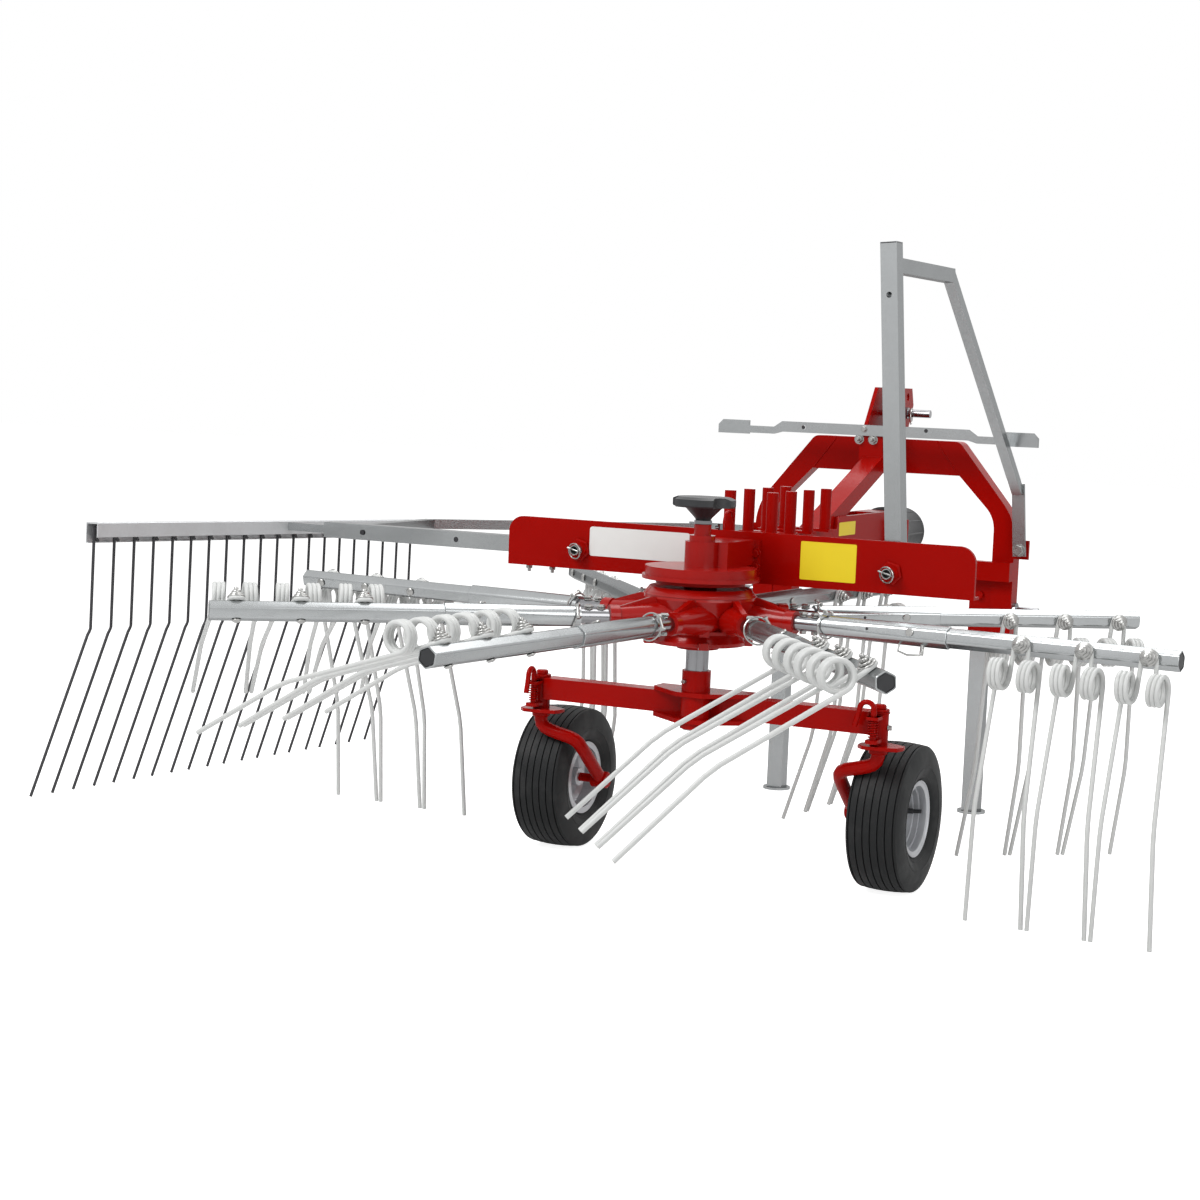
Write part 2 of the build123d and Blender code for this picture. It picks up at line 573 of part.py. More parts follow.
def transport_strip():
    """Profiled bar across the top that carries the tine arms in transport."""
    front = HEAD_Y - LEG_D / 2 - STRIP_BACK
    low, high = STRIP_Z - STRIP_H / 2, STRIP_Z + STRIP_H / 2
    step = STRIP_HALF - STRIP_BLOCK
    slope = STRIP_RAISED + STRIP_SLOPE
    half = [(STRIP_RAISED, high), (slope, high - STRIP_DIP), (step, high - STRIP_DIP), (step, high - 2),
            (STRIP_HALF - 16, high - 2), (STRIP_HALF, high - 18), (STRIP_HALF, low - 12), (step, low - 12),
            (step, low - 8), (slope, low - 8), (STRIP_RAISED, low)]
    other = [(-x, z) for x, z in reversed(half)]
    pl = Plane(origin=(0, front, 0), x_dir=(1, 0, 0), z_dir=(0, -1, 0))
    bar = extrude(pl * make_face(Polyline(*half, *other, close=True)), amount=STRIP_T)
    for x in (-STRIP_RAISED * 0.76, -STRIP_RAISED * 0.1):
        bar -= rod((x, front + 1, STRIP_Z), (x, front - STRIP_T - 1, STRIP_Z), 7)
    return bar


def pto_guard():
    """Bell around the drive stub, narrower to the front."""
    hole = PTO_SEAT_R + MOVE_GAP
    wall = [(hole, 0), (CONE_R, 0), (CONE_FRONT_R, CONE_L), (CONE_FRONT_R - CONE_WALL, CONE_L),
            (CONE_R - CONE_WALL, CONE_WALL), (hole, CONE_WALL)]
    bell = revolve(Plane.XZ * make_face(Polyline(*wall, close=True)), axis=Axis.Z)
    return Pos(0, HEAD_Y - LEG_D / 2, BEAM_Z) * Rot(-90, 0, 0) * bell


def pto_shaft():
    """Stub for the drive shaft, ahead of the shoulder that turns in the headstock."""
    shoulder = HEAD_Y + LEG_D / 2
    shaft = rod((0, HEAD_Y - LEG_D / 2 - 12, BEAM_Z), (0, shoulder, BEAM_Z), PTO_SEAT_R)
    return shaft + rod((0, shoulder, BEAM_Z), (0, shoulder + PTO_L, BEAM_Z), PTO_R)


def stand_sockets():
    """Square tube on the inner face of each leg, with its clamp bolt."""
    out = []
    half = STAND_S / 2 + RUN_GAP
    wide = half + SOCKET_WALL
    for s in (-1, 1):
        x = s * STAND_X
        shell = block(x - wide, x + wide, STAND_Y - wide, STAND_Y + wide, SOCKET_LOW, SOCKET_HIGH)
        shell -= block(x - half, x + half, STAND_Y - half, STAND_Y + half, SOCKET_LOW - 1, SOCKET_HIGH + 1)
        head = Plane(origin=(x, STAND_Y - wide, CROSS_TOP - CROSS_H - 50), z_dir=(0, -1, 0))
        out.append(shell + extrude(head * RegularPolygon(14, 6), amount=14))
    return out


def stand(side):
    """Square leg on a round foot."""
    x = side * STAND_X
    h = STAND_S / 2
    leg = block(x - h, x + h, STAND_Y - h, STAND_Y + h, FOOT_T, STAND_TOP)
    leg -= block(x - h + 4, x + h - 4, STAND_Y - h + 4, STAND_Y + h - 4, FOOT_T + 10, STAND_TOP + 1)
    leg += Pos(x, STAND_Y, FOOT_T / 2) * Cylinder(FOOT_R, FOOT_T)
    return leg


def guard(side):
    """Guard as it lies when lowered: rear leg, side bar, slanted bar and flattened front hinge leg."""
    x0 = side * GUARD_X
    x1 = side * (GUARD_X + GUARD_L)
    front = HEAD_Y - LEG_D / 2 - 14
    y = GUARD_REAR_Y
    deep, tall = GUARD_LEG_T / 2, GUARD_LEG_W / 2
    leg = block(x0 - side * 24, x1, y - deep, y + deep, GUARD_Z - tall, GUARD_Z + tall)
    cavity = ARM_HALF + RUN_GAP
    z, thick = GUARD_Z, GUARD_T / 2
    leg -= block(x1 - side * GUARD_BORE, x1 + side * 1, y - cavity, y + cavity, z - cavity, z + cavity)
    out = x1 - side * GUARD_END
    bar = block(out - side * GUARD_W, out, y + deep, y + GUARD_SIDE, z - thick, z + thick)
    near = (side * (GUARD_X + GUARD_STEP), front - 22, GUARD_Z)
    far = (out - side * GUARD_W / 2, y + GUARD_SIDE - 12, GUARD_Z)
    slant = poly_bar(far, near, GUARD_W * 0.8, GUARD_T, over=6)
    flat_end = side * (GUARD_X + GUARD_STEP + 18)
    flat = block(x0 - side * 20, flat_end, front - 12, front, z - 20, z + 20)
    body = leg + bar + slant + flat
    body -= rod((x0, y - 60, GUARD_Z), (x0, y + 60, GUARD_Z), 14 + RUN_GAP)
    body -= rod((x0, front - 60, GUARD_Z), (x0, front + 60, GUARD_Z), 10 + RUN_GAP)
    hole = x1 - side * GUARD_HOLE
    return body - rod((hole, y - 60, GUARD_Z), (hole, y + 60, GUARD_Z), 8)


def folded(shape, side):
    """Turns a lowered guard up about its hinge line."""
    hinge = Pos(side * GUARD_X, 0, GUARD_Z)
    return hinge * Rot(0, -GUARD_FOLD_DEG * side, 0) * hinge.inverse() * shape


def curtain_arm():
    """Square bar that slides in the left rear guard leg."""
    x1 = -(GUARD_X + GUARD_L)
    y = GUARD_REAR_Y
    half = ARM_HALF
    end = -CURTAIN_X - BAR_W / 2 + BAR_T
    arm = block(x1 + ARM_INSIDE, end, y - half, y + half, GUARD_Z - half, GUARD_Z + half)
    return arm - curtain_bar()


def tilted(shape):
    """Turns a curtain piece about the sliding bar so that its rear end is higher."""
    pivot = Pos(-CURTAIN_X, GUARD_REAR_Y, GUARD_Z + ARM_HALF)
    return pivot * Rot(-CURTAIN_TILT, 0, 0) * pivot.inverse() * shape


def curtain_bar():
    """Folded sheet bar: a flat on top and a flange down its outer side."""
    x0, x1 = -CURTAIN_X - BAR_W / 2, -CURTAIN_X + BAR_W / 2
    low = GUARD_Z + ARM_HALF
    bar = block(x0, x1, CURTAIN_BACK, CURTAIN_FRONT, low, low + BAR_T)
    bar += block(x0, x0 + BAR_T, CURTAIN_BACK, CURTAIN_FRONT, low + BAR_T - BAR_H, low + BAR_T)
    return tilted(bar)


def curtain_rods():
    out = []
    top = GUARD_Z + ARM_HALF          # underside of the bar's flat
    for k in range(CURTAIN_RODS):
        y = ROD_FIRST_Y + k * ROD_PITCH
        x = -CURTAIN_X
        pts = [(x, y, top), (x, y, top - ROD_UPPER), (x - ROD_OUT, y - ROD_BACK, top - ROD_UPPER - ROD_LOWER)]
        out.append(tilted(wire(pts, ROD_R)))
    return out


def column():
    """Sliding shaft that carries the machine on its axle."""
    low, high = AXLE_Z - SLEEVE_DOWN - 4, COVER_Z + COVER_T
    return Pos(0, 0, (low + high) / 2) * Cylinder(SHAFT_R, high - low)


def axle_beam():
    """Box beam with a sleeve for the shaft held between two plates, and a pivot tube at either end."""
    end = CASTOR_X - CASTOR_TUBE_R + 4
    h = AXLE_S / 2
    beam = block(-end, end, AXLE_Y - h, AXLE_Y + h, AXLE_Z - h, AXLE_Z + h)
    sleeve = SHAFT_R + SLEEVE_WALL
    tube = Cylinder(sleeve, SLEEVE_UP + SLEEVE_DOWN, align=(Align.CENTER, Align.CENTER, Align.MIN))
    beam += Pos(0, 0, AXLE_Z - SLEEVE_DOWN) * tube
    plate = Polyline((-CLAMP_HALF, AXLE_Y + h), (CLAMP_HALF, AXLE_Y + h), (CLAMP_HALF, AXLE_Y - h),
                     (sleeve, -sleeve - 6), (-sleeve, -sleeve - 6), (-CLAMP_HALF, AXLE_Y - h), close=True)
    for z in (AXLE_Z - h - CLAMP_T, AXLE_Z + h):
        beam += extrude(Plane.XY.offset(z) * make_face(plate), amount=CLAMP_T)
    low, high = AXLE_Z - CASTOR_TUBE_DOWN, AXLE_Z + CASTOR_TUBE_UP
    pin_y = AXLE_Y - LOCK_PIN_BACK
    for s in (-1, 1):
        x = s * CASTOR_X
        beam += rod((x, AXLE_Y, low), (x, AXLE_Y, high), CASTOR_TUBE_R)
        for z in (high - 14, low + 12):
            beam += block(x - 16, x + 16, pin_y - 14, AXLE_Y, z, z + 8)
        beam += rod((x, pin_y, low + MOVE_GAP), (x, pin_y, high + 12), LOCK_PIN_R)
        beam -= rod((x, AXLE_Y, low - 10), (x, AXLE_Y, high + 10), CASTOR_PIN_R + RUN_GAP)
    return beam - Pos(0, 0, AXLE_Z) * Cylinder(SHAFT_R + RUN_GAP, 4 * SLEEVE_UP)


def castor(side):
    """Pivot pin, notched lock plate and the bent arm to the inner side of the wheel."""
    x, inner = -CASTOR_X, -CASTOR_ARM_X
    low, high = AXLE_Z - CASTOR_TUBE_DOWN, AXLE_Z + CASTOR_TUBE_UP
    under = low - 2 - LOCK_PLATE_T
    pin = rod((x, AXLE_Y, under - 30), (x, AXLE_Y, high + 22), CASTOR_PIN_R)
    pin += rod((x, AXLE_Y, high + 2), (x, AXLE_Y, high + 12), CASTOR_TUBE_R - 4)
    pin_y = AXLE_Y - LOCK_PIN_BACK
    plate = block(x + 40, x - LOCK_PLATE_OUT, AXLE_Y - LOCK_PLATE_BACK, AXLE_Y + 40, under, low - 2)
    plate -= rod((x, pin_y, under - 1), (x, pin_y, low), LOCK_PIN_R + 2)
    wheel_y = AXLE_Y + CASTOR_TRAIL
    bend = (inner, AXLE_Y + 26, under - 62)
    arm = swept([(x, AXLE_Y, under - 18), bend, (inner, wheel_y, TYRE_R)], 30, Circle(FORK_R))
    arm += rod((x, AXLE_Y, under - 34), (x, AXLE_Y, under), FORK_R + 5)
    arm += rod((inner, wheel_y, TYRE_R), (20 - CASTOR_X - TYRE_W / 2, wheel_y, TYRE_R), AXLE_PIN_R)
    arm += rod((inner + FORK_R, wheel_y, TYRE_R), (inner - FORK_R, wheel_y, TYRE_R), HUB_TUBE_R)
    whole = pin + plate + arm
    return whole if side < 0 else mirror_x(whole)


def rim(side):
    """Barrel with a lip at either edge, a web toward the inner side and the hub tube."""
    x, y = side * CASTOR_X, AXLE_Y + CASTOR_TRAIL
    half = RIM_W / 2 - 12
    wall, web = RIM_R - 14, -half * 0.4
    bore = AXLE_PIN_R + RUN_GAP
    boss = HUB_TUBE_R + 2
    outline = [(-half, wall - 4), (-half, RIM_R), (-half + 5, RIM_R), (-half + 5, wall), (half - 5, wall),
               (half - 5, RIM_R), (half, RIM_R), (half, wall - 4), (web + 8, wall - 4), (web + 8, boss),
               (50, boss), (50, bore), (-50, bore), (-50, boss), (web, boss), (web, wall - 4)]
    pl = Plane(origin=(x, y, TYRE_R), x_dir=(side, 0, 0), z_dir=(0, -1, 0))
    return revolve(pl * make_face(Polyline(*outline, close=True)), axis=Axis((x, y, TYRE_R), (1, 0, 0)))


def tyre(side):
    """Balloon section turned about the wheel axis."""
    x, y = side * CASTOR_X, AXLE_Y + CASTOR_TRAIL
    w = TYRE_W / 2
    half = RIM_W / 2 - 12
    inner = RIM_R - 14
    right = [(w - 18, TYRE_R - 5), (w - 4, TYRE_R - 31), (w, RIM_R + 40), (half + 2, RIM_R + 6),
             (half - 5, RIM_R + 2), (half - 5, inner)]
    outline = [(0, TYRE_R)] + right + [(-u, r) for u, r in reversed(right)]
    pl = Plane(origin=(x, y, TYRE_R), x_dir=(1, 0, 0), z_dir=(0, -1, 0))
    return revolve(pl * make_face(Polyline(*outline, close=True)), axis=Axis((x, y, TYRE_R), (1, 0, 0)))


ONE_TINE = double_tine()

PIECES = {"tines_%d" % (k + 1): tines_of(k, ONE_TINE) for k in range(ARM_COUNT)}
PIECES.update({
    "rotor_hub": rotor_hub(),
    "arm_stubs": arm_stubs(),
    "tine_arms": tine_arms(),
    "centre_tube": centre_tube(),
    "cam_cover": cam_cover(),
    "gearbox_head": gearbox_head(),
    "handwheel": handwheel(),
    "cross_plate": cross_plate(),
    "main_beam": main_beam(),
    "storage_pegs": storage_pegs(),
    "headstock_arch": headstock_arch(),
    "brace": brace(),
    "top_link_clevis": top_link_clevis(),
    "top_link_pin": top_link_pin(),
    "lower_link_pins": lower_link_pins(),
    "transport_strip": transport_strip(),
    "pto_guard": pto_guard(),
    "pto_shaft": pto_shaft(),
    "stand_sockets": stand_sockets(),
    "curtain_arm": curtain_arm(),
    "curtain_bar": curtain_bar(),
    "curtain_rods": curtain_rods(),
    "column": column(),
    "axle_beam": axle_beam(),
    "guard_left": guard(-1),
    "guard_right": folded(guard(1), 1),
})
for label, side in (("left", -1), ("right", 1)):
    PIECES["stand_" + label] = stand(side)
    PIECES["castor_" + label] = castor(side)
    PIECES["rim_" + label] = rim(side)
    PIECES["tyre_" + label] = tyre(side)

SOLIDS = {name: list(shape) if isinstance(shape, (list, tuple)) else [shape]
          for name, shape in PIECES.items()}

# The origin is the middle of the whole machine's footprint, on the floor.
BOXES = [solid.bounding_box() for group in SOLIDS.values() for solid in group]
CENTRE_X = (min(b.min.X for b in BOXES) + max(b.max.X for b in BOXES)) / 2
CENTRE_Y = (min(b.min.Y for b in BOXES) + max(b.max.Y for b in BOXES)) / 2

for name, group in SOLIDS.items():
    placed = [Pos(-CENTRE_X, -CENTRE_Y, 0) * solid for solid in group]
    export_step(placed[0] if len(placed) == 1 else Compound(children=placed), "parts/" + name + ".step")
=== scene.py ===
"""Looks of the single-rotor hay rake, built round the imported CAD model."""

import json
import math

import bmesh
import bpy
from mathutils import Matrix, Vector


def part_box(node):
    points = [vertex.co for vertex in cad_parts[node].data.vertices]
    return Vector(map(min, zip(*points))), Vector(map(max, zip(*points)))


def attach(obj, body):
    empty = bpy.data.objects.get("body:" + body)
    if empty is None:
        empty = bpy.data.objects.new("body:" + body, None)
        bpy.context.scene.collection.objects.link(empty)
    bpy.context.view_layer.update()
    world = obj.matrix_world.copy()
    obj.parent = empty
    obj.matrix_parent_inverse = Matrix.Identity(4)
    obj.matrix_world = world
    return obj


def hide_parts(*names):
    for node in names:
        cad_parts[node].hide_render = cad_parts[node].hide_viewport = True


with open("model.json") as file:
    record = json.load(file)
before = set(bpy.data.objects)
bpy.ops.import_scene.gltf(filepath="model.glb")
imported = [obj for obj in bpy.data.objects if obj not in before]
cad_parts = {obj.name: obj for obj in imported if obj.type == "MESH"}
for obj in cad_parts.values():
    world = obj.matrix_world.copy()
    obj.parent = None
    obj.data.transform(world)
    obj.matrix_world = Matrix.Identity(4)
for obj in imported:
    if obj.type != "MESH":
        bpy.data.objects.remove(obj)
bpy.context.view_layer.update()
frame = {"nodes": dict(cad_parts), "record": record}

# Rotor axis and height of the arms, in metres
lo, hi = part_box("cam_cover")
AX = (lo[0] + hi[0]) / 2
AY = (lo[1] + hi[1]) / 2
lo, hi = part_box("arm_stubs")
ARM_Z = (lo[2] + hi[2]) / 2

# Arms: turn of the first, step to the next, distance of their lines from the axis, lift angles
FIRST_ARM = math.radians(-5.9)
ARM_STEP = math.pi / 4
ARM_OFFSET = 0.058
ROLL = (9.0, -8.0, -8.0, -2.0, 14.0, 64.0, 69.0, 56.0)
ARMS = range(len(ROLL))
TUBE_AF = 0.047

# Sign along x and name of each side
SIDES = ((-1, "left"), (1, "right"))

# Place of the guards' rear legs, in millimetres ahead of the rotor axis
LEG_Y = 244


def at(x, y, z):
    """Point in metres from x, y in millimetres off the rotor axis and z in millimetres off the floor."""
    return Vector((AX + x / 1000, AY + y / 1000, z / 1000))


def arm_matrix(k):
    """Arm k's own frame: x out along the arm, y leading, z up, rolled with its tines."""
    turn = Matrix.Rotation(FIRST_ARM + k * ARM_STEP, 4, "Z")
    place = Matrix.Translation((AX, AY, ARM_Z)) @ turn @ Matrix.Translation((0, ARM_OFFSET, 0))
    return place @ Matrix.Rotation(-math.radians(ROLL[k]), 4, "X")


def angles(count):
    """Equal steps round a full turn, in radians."""
    return [2 * math.pi * i / count for i in range(count)]


def between(p, q, t):
    """Point at the share t of the way from p to q."""
    return tuple(a + (b - a) * t for a, b in zip(p, q))


# Mesh building
class Build:
    """Collects vertices and faces, then makes one object of them."""

    def __init__(self):
        self.verts = []
        self.faces = []
        self.mats = []

    def add(self, verts, faces, mat=0, matrix=None):
        """Adds vertices and the faces between them, all in material number mat."""
        base = len(self.verts)
        for v in verts:
            self.verts.append(matrix @ Vector(v) if matrix else Vector(v))
        self.faces += [[base + i for i in f] for f in faces]
        self.mats += [mat] * len(faces)

    def rings(self, loops, closed=False, mat=0, matrix=None):
        """Skin over a list of equal point loops, with ends unless the last loop meets the first."""
        n = len(loops[0])
        verts = [p for loop in loops for p in loop]
        faces = []
        count = len(loops)
        for i in range(count if closed else count - 1):
            a = i * n
            b = ((i + 1) % count) * n
            faces += [[a + j, a + (j + 1) % n, b + (j + 1) % n, b + j] for j in range(n)]
        if not closed:
            faces.append(list(range(n))[::-1])
            faces.append([(count - 1) * n + j for j in range(n)])
        self.add(verts, faces, mat, matrix)

    def tube(self, points, r, sides=10, mat=0, matrix=None, closed=False):
        """Round wire of radius r along points."""
        pts = [Vector(p) for p in points]
        n = len(pts)
        loops = []
        normal = None
        for i, p in enumerate(pts):
            if closed:
                d = pts[(i + 1) % n] - pts[i - 1]
            else:
                d = pts[min(i + 1, n - 1)] - pts[max(i - 1, 0)]
            d.normalize()
            if normal is None:
                normal = d.orthogonal().normalized()
            normal = (normal - d * normal.dot(d)).normalized()
            side = d.cross(normal)
            loops.append([p + (normal * math.cos(a) + side * math.sin(a)) * r for a in angles(sides)])
        self.rings(loops, closed=closed, mat=mat, matrix=matrix)

    def rod(self, p, q, r, sides=16, chamfer=0.0, mat=0, matrix=None):
        """Straight round or many-sided bar with small chamfers at its ends."""
        p = Vector(p)
        q = Vector(q)
        d = (q - p).normalized()
        if chamfer:
            steps = [(p, r - chamfer), (p + d * chamfer, r), (q - d * chamfer, r), (q, r - chamfer)]
        else:
            steps = [(p, r), (q, r)]
        normal = d.orthogonal().normalized()
        side = d.cross(normal)
        loops = []
        for middle, radius in steps:
            loops.append([middle + (normal * math.cos(a) + side * math.sin(a)) * radius
                          for a in angles(sides)])
        self.rings(loops, mat=mat, matrix=matrix)

    def lathe(self, profile, origin, axis, sides=48, mat=0, matrix=None):
        """Turns a closed outline of (along, radius) points round an axis."""
        axis = Vector(axis).normalized()
        origin = Vector(origin)
        normal = axis.orthogonal().normalized()
        side = axis.cross(normal)
        loops = []
        for a in angles(sides):
            out = normal * math.cos(a) + side * math.sin(a)
            loops.append([origin + axis * h + out * rad for h, rad in profile])
        n = len(profile)
        verts = [p for loop in loops for p in loop]
        faces = []
        for i in range(sides):
            a = i * n
            b = ((i + 1) % sides) * n
            for j in range(n):
                faces.append([a + j, b + j, b + (j + 1) % n, a + (j + 1) % n])
        self.add(verts, faces, mat, matrix)

    def slab(self, outline, thick, matrix, mat=0, bevel=0.0):
        """Flat plate: an outline in x, y raised along z by `thick`, with optional bevelled rim."""
        levels = [(0, 0), (thick, 0)]
        if bevel:
            levels = [(0, bevel), (bevel, 0), (thick - bevel, 0), (thick, bevel)]
        cx = sum(p[0] for p in outline) / len(outline)
        cy = sum(p[1] for p in outline) / len(outline)
        loops = []
        for z, inset in levels:
            loop = []
            for x, y in outline:
                d = math.hypot(x - cx, y - cy) or 1
                k = 1 - inset / d
                loop.append((cx + (x - cx) * k, cy + (y - cy) * k, z))
            loops.append(loop)
        self.rings(loops, mat=mat, matrix=matrix)

    def make(self, name, materials, body, smooth=35.0):
        """Makes the object and lets it ride on a body; edges sharper than smooth degrees stay hard."""
        mesh = bpy.data.meshes.new(name)
        mesh.from_pydata([tuple(v) for v in self.verts], [], self.faces)
        for m in materials:
            mesh.materials.append(m)
        for p, m in zip(mesh.polygons, self.mats):
            p.material_index = m
            p.use_smooth = True
        bm = bmesh.new()
        bm.from_mesh(mesh)
        bmesh.ops.recalc_face_normals(bm, faces=bm.faces)
        for e in bm.edges:
            if len(e.link_faces) == 2 and e.calc_face_angle(0) > math.radians(smooth):
                e.smooth = False
        bm.to_mesh(mesh)
        bm.free()
        obj = bpy.data.objects.new(name, mesh)
        bpy.context.scene.collection.objects.link(obj)
        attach(obj, body)
        return obj


# Sockets of a colour mix node
MIX_FACTOR = 0
MIX_FIRST = 6
MIX_SECOND = 7
MIX_RESULT = 2

COAT_ROUGH = 0.12
SPANGLE_SCALE = 120.0
DIRT_SCALE = 11.0
RELIEF_DEPTH = 0.002


def noise_on(tree, place, scale, detail):
    """Noise over the object's own coordinates."""
    node = tree.nodes.new("ShaderNodeTexNoise")
    node.inputs["Scale"].default_value = scale
    node.inputs["Detail"].default_value = detail
    tree.links.new(place, node.inputs["Vector"])
    return node.outputs["Fac"]


def feed(tree, entry, value):
    """Sets an input of a node from a socket or a plain value."""
    if isinstance(value, bpy.types.NodeSocket):
        tree.links.new(value, entry)
    else:
        entry.default_value = value


def mixed(tree, factor, first, second, blend="MIX"):
    """Mix of two colours."""
    node = tree.nodes.new("ShaderNodeMix")
    node.data_type = "RGBA"
    node.blend_type = blend
    feed(tree, node.inputs[MIX_FACTOR], factor)
    feed(tree, node.inputs[MIX_FIRST], first)
    feed(tree, node.inputs[MIX_SECOND], second)
    return node.outputs[MIX_RESULT]


def reckoned(tree, operation, *values):
    """Result of a maths node."""
    node = tree.nodes.new("ShaderNodeMath")
    node.operation = operation
    for entry, value in zip(node.inputs, values):
        feed(tree, entry, value)
    return node.outputs[0]


def ranged(tree, value, low, high, start=0.0, stop=1.0):
    """Value carried over from start to stop onto low to high."""
    node = tree.nodes.new("ShaderNodeMapRange")
    node.inputs["From Min"].default_value = start
    node.inputs["From Max"].default_value = stop
    node.inputs["To Min"].default_value = low
    node.inputs["To Max"].default_value = high
    tree.links.new(value, node.inputs["Value"])
    return node.outputs["Result"]


def material(name, base, rough, metal=0.0, coat=0.0, vary=0.08, scale=30.0, bump=0.02, bump_scale=200.0,
             spangle=0.0, spec=0.5, edge=1.0, dirt=0.0, dirt_colour=(0.25, 0.22, 0.18)):
    """Principled material whose colour, gloss and relief vary with noise."""
    made = bpy.data.materials.new(name)
    made.use_nodes = True
    tree = made.node_tree
    shader = tree.nodes["Principled BSDF"]
    shader.inputs["Metallic"].default_value = metal
    shader.inputs["Coat Weight"].default_value = coat
    shader.inputs["Coat Roughness"].default_value = COAT_ROUGH
    shader.inputs["Specular IOR Level"].default_value = spec
    shader.inputs["Specular Tint"].default_value = (edge, edge, edge, 1)
    place = tree.nodes.new("ShaderNodeTexCoord").outputs["Object"]
    noise = noise_on(tree, place, scale, detail=5.0)
    dark = (*[c * (1 - vary) for c in base], 1)
    light = (*[min(1, c * (1 + vary)) for c in base], 1)
    colour = mixed(tree, noise, dark, light)
    if spangle:
        cells = tree.nodes.new("ShaderNodeTexVoronoi")
        cells.inputs["Scale"].default_value = SPANGLE_SCALE
        tree.links.new(place, cells.inputs["Vector"])
        grey = tree.nodes.new("ShaderNodeRGBToBW")
        tree.links.new(cells.outputs["Color"], grey.inputs["Color"])
        colour = mixed(tree, spangle, colour, grey.outputs["Val"], "MULTIPLY")
    if dirt:
        patches = noise_on(tree, place, DIRT_SCALE, detail=8.0)
        cover = ranged(tree, patches, 0.0, dirt, start=0.5, stop=0.8)
        colour = mixed(tree, cover, colour, (*dirt_colour, 1))
    tree.links.new(colour, shader.inputs["Base Color"])
    gloss = ranged(tree, noise, rough * 0.8, min(1.0, rough * 1.25))
    tree.links.new(gloss, shader.inputs["Roughness"])
    relief = tree.nodes.new("ShaderNodeBump")
    relief.inputs["Strength"].default_value = bump
    relief.inputs["Distance"].default_value = RELIEF_DEPTH
    fine = noise_on(tree, place, bump_scale, detail=3.0)
    tree.links.new(fine, relief.inputs["Height"])
    tree.links.new(relief.outputs["Normal"], shader.inputs["Normal"])
    return made


# Materials
RED = material("red_gloss", (0.345, 0.0024, 0.0008), 0.24, coat=0.05, spec=0.05, vary=0.07, scale=9,
               bump=0.03, bump_scale=260)
CAST = material("red_casting", (0.345, 0.0030, 0.0012), 0.22, coat=0.20, spec=0.20, vary=0.09, scale=14,
                bump=0.06, bump_scale=180)
GALV = material("zinc", (0.43, 0.445, 0.45), 0.22, metal=0.92, vary=0.06, scale=7, spangle=0.05, edge=0.45,
                bump=0.012, bump_scale=110)
BRIGHT = material("turned_steel", (0.27, 0.27, 0.28), 0.16, metal=1.0, vary=0.05, scale=60)
BOLT = material("bolt_zinc", (0.40, 0.40, 0.39), 0.24, metal=0.9, vary=0.12, scale=80, bump=0.05)
TINE = material("tine_white", (0.64, 0.65, 0.64), 0.42, vary=0.05, scale=40, bump=0.05, bump_scale=300)
PLASTIC = material("black_moulded", (0.014, 0.015, 0.017), 0.42, vary=0.25, scale=60, bump=0.10,
                   bump_scale=500)
BLACK = material("black_rod", (0.015, 0.015, 0.018), 0.45, vary=0.3, scale=50, bump=0.05)
RIM = material("rim_paint", (0.50, 0.51, 0.53), 0.36, metal=0.55, vary=0.06, bump=0.03)
RUBBER = material("tyre_rubber", (0.013, 0.014, 0.0145), 0.55, vary=0.3, scale=35, bump=0.12,
                  bump_scale=260, spec=0.22, dirt=0.5, dirt_colour=(0.075, 0.075, 0.075))
YELLOW = material("yellow_film", (0.86, 0.66, 0.01), 0.40, vary=0.04, scale=20, bump=0.01)
SHEET = material("zinc_sheet", (0.62, 0.63, 0.64), 0.42, metal=0.6, vary=0.05, scale=8, spangle=0.05,
                 bump=0.012)
WHITE = material("white_film", (0.82, 0.82, 0.80), 0.35, vary=0.03, scale=20, bump=0.01)

SLOTS = {
    "red_paint": RED,
    "galvanised": GALV,
    "bright_steel": BRIGHT,
    "tine_paint": TINE,
    "black_plastic": PLASTIC,
    "black_steel": BLACK,
    "rim_silver": RIM,
    "rubber": RUBBER,
}
CASTINGS = ("rotor_hub", "cam_cover", "gearbox_head")
slot_of = {s["node"]: s["material_slot"] for s in frame["record"]["subparts"]}
for node, obj in frame["nodes"].items():
    look = CAST if node in CASTINGS else SLOTS[slot_of[node]]
    for s in obj.material_slots:
        s.material = look

# Spring tines: places along the arm, wire, coil, spread to the tip and leans above and below the knee
TINE_PLACES = (0.905, 1.068, 1.231)
WIRE_R = 0.0062
WIRE_GAP = 0.0005
TIP_HEIGHT = 0.0270
TINE_DROP = ARM_Z - TIP_HEIGHT
COIL_R = 0.035
COIL_TURNS = 3
COIL_STEPS = 26
COIL_DROP = 0.078
HALF_SPAN = 0.040
SPREAD = 0.018
KNEE_SHARE = 0.55
UPPER_LEAN = 0.07
LOWER_LEAN = 0.16

# Bolt of a tine, outward from the tube: start, end, radius, sides and chamfer of each step
TINE_NUT = (
    (-0.001, 0.010, 0.0125, 16, 0.0),
    (0.0105, 0.0155, 0.023, 28, 0.001),
    (0.0160, 0.0220, 0.0175, 24, 0.001),
    (0.022, 0.031, 0.0125, 6, 0.0012),
    (0.031, 0.040, 0.006, 12, 0.001),
)
TINE_HEAD = ((-0.001, 0.007, 0.0120, 20, 0.0045),)


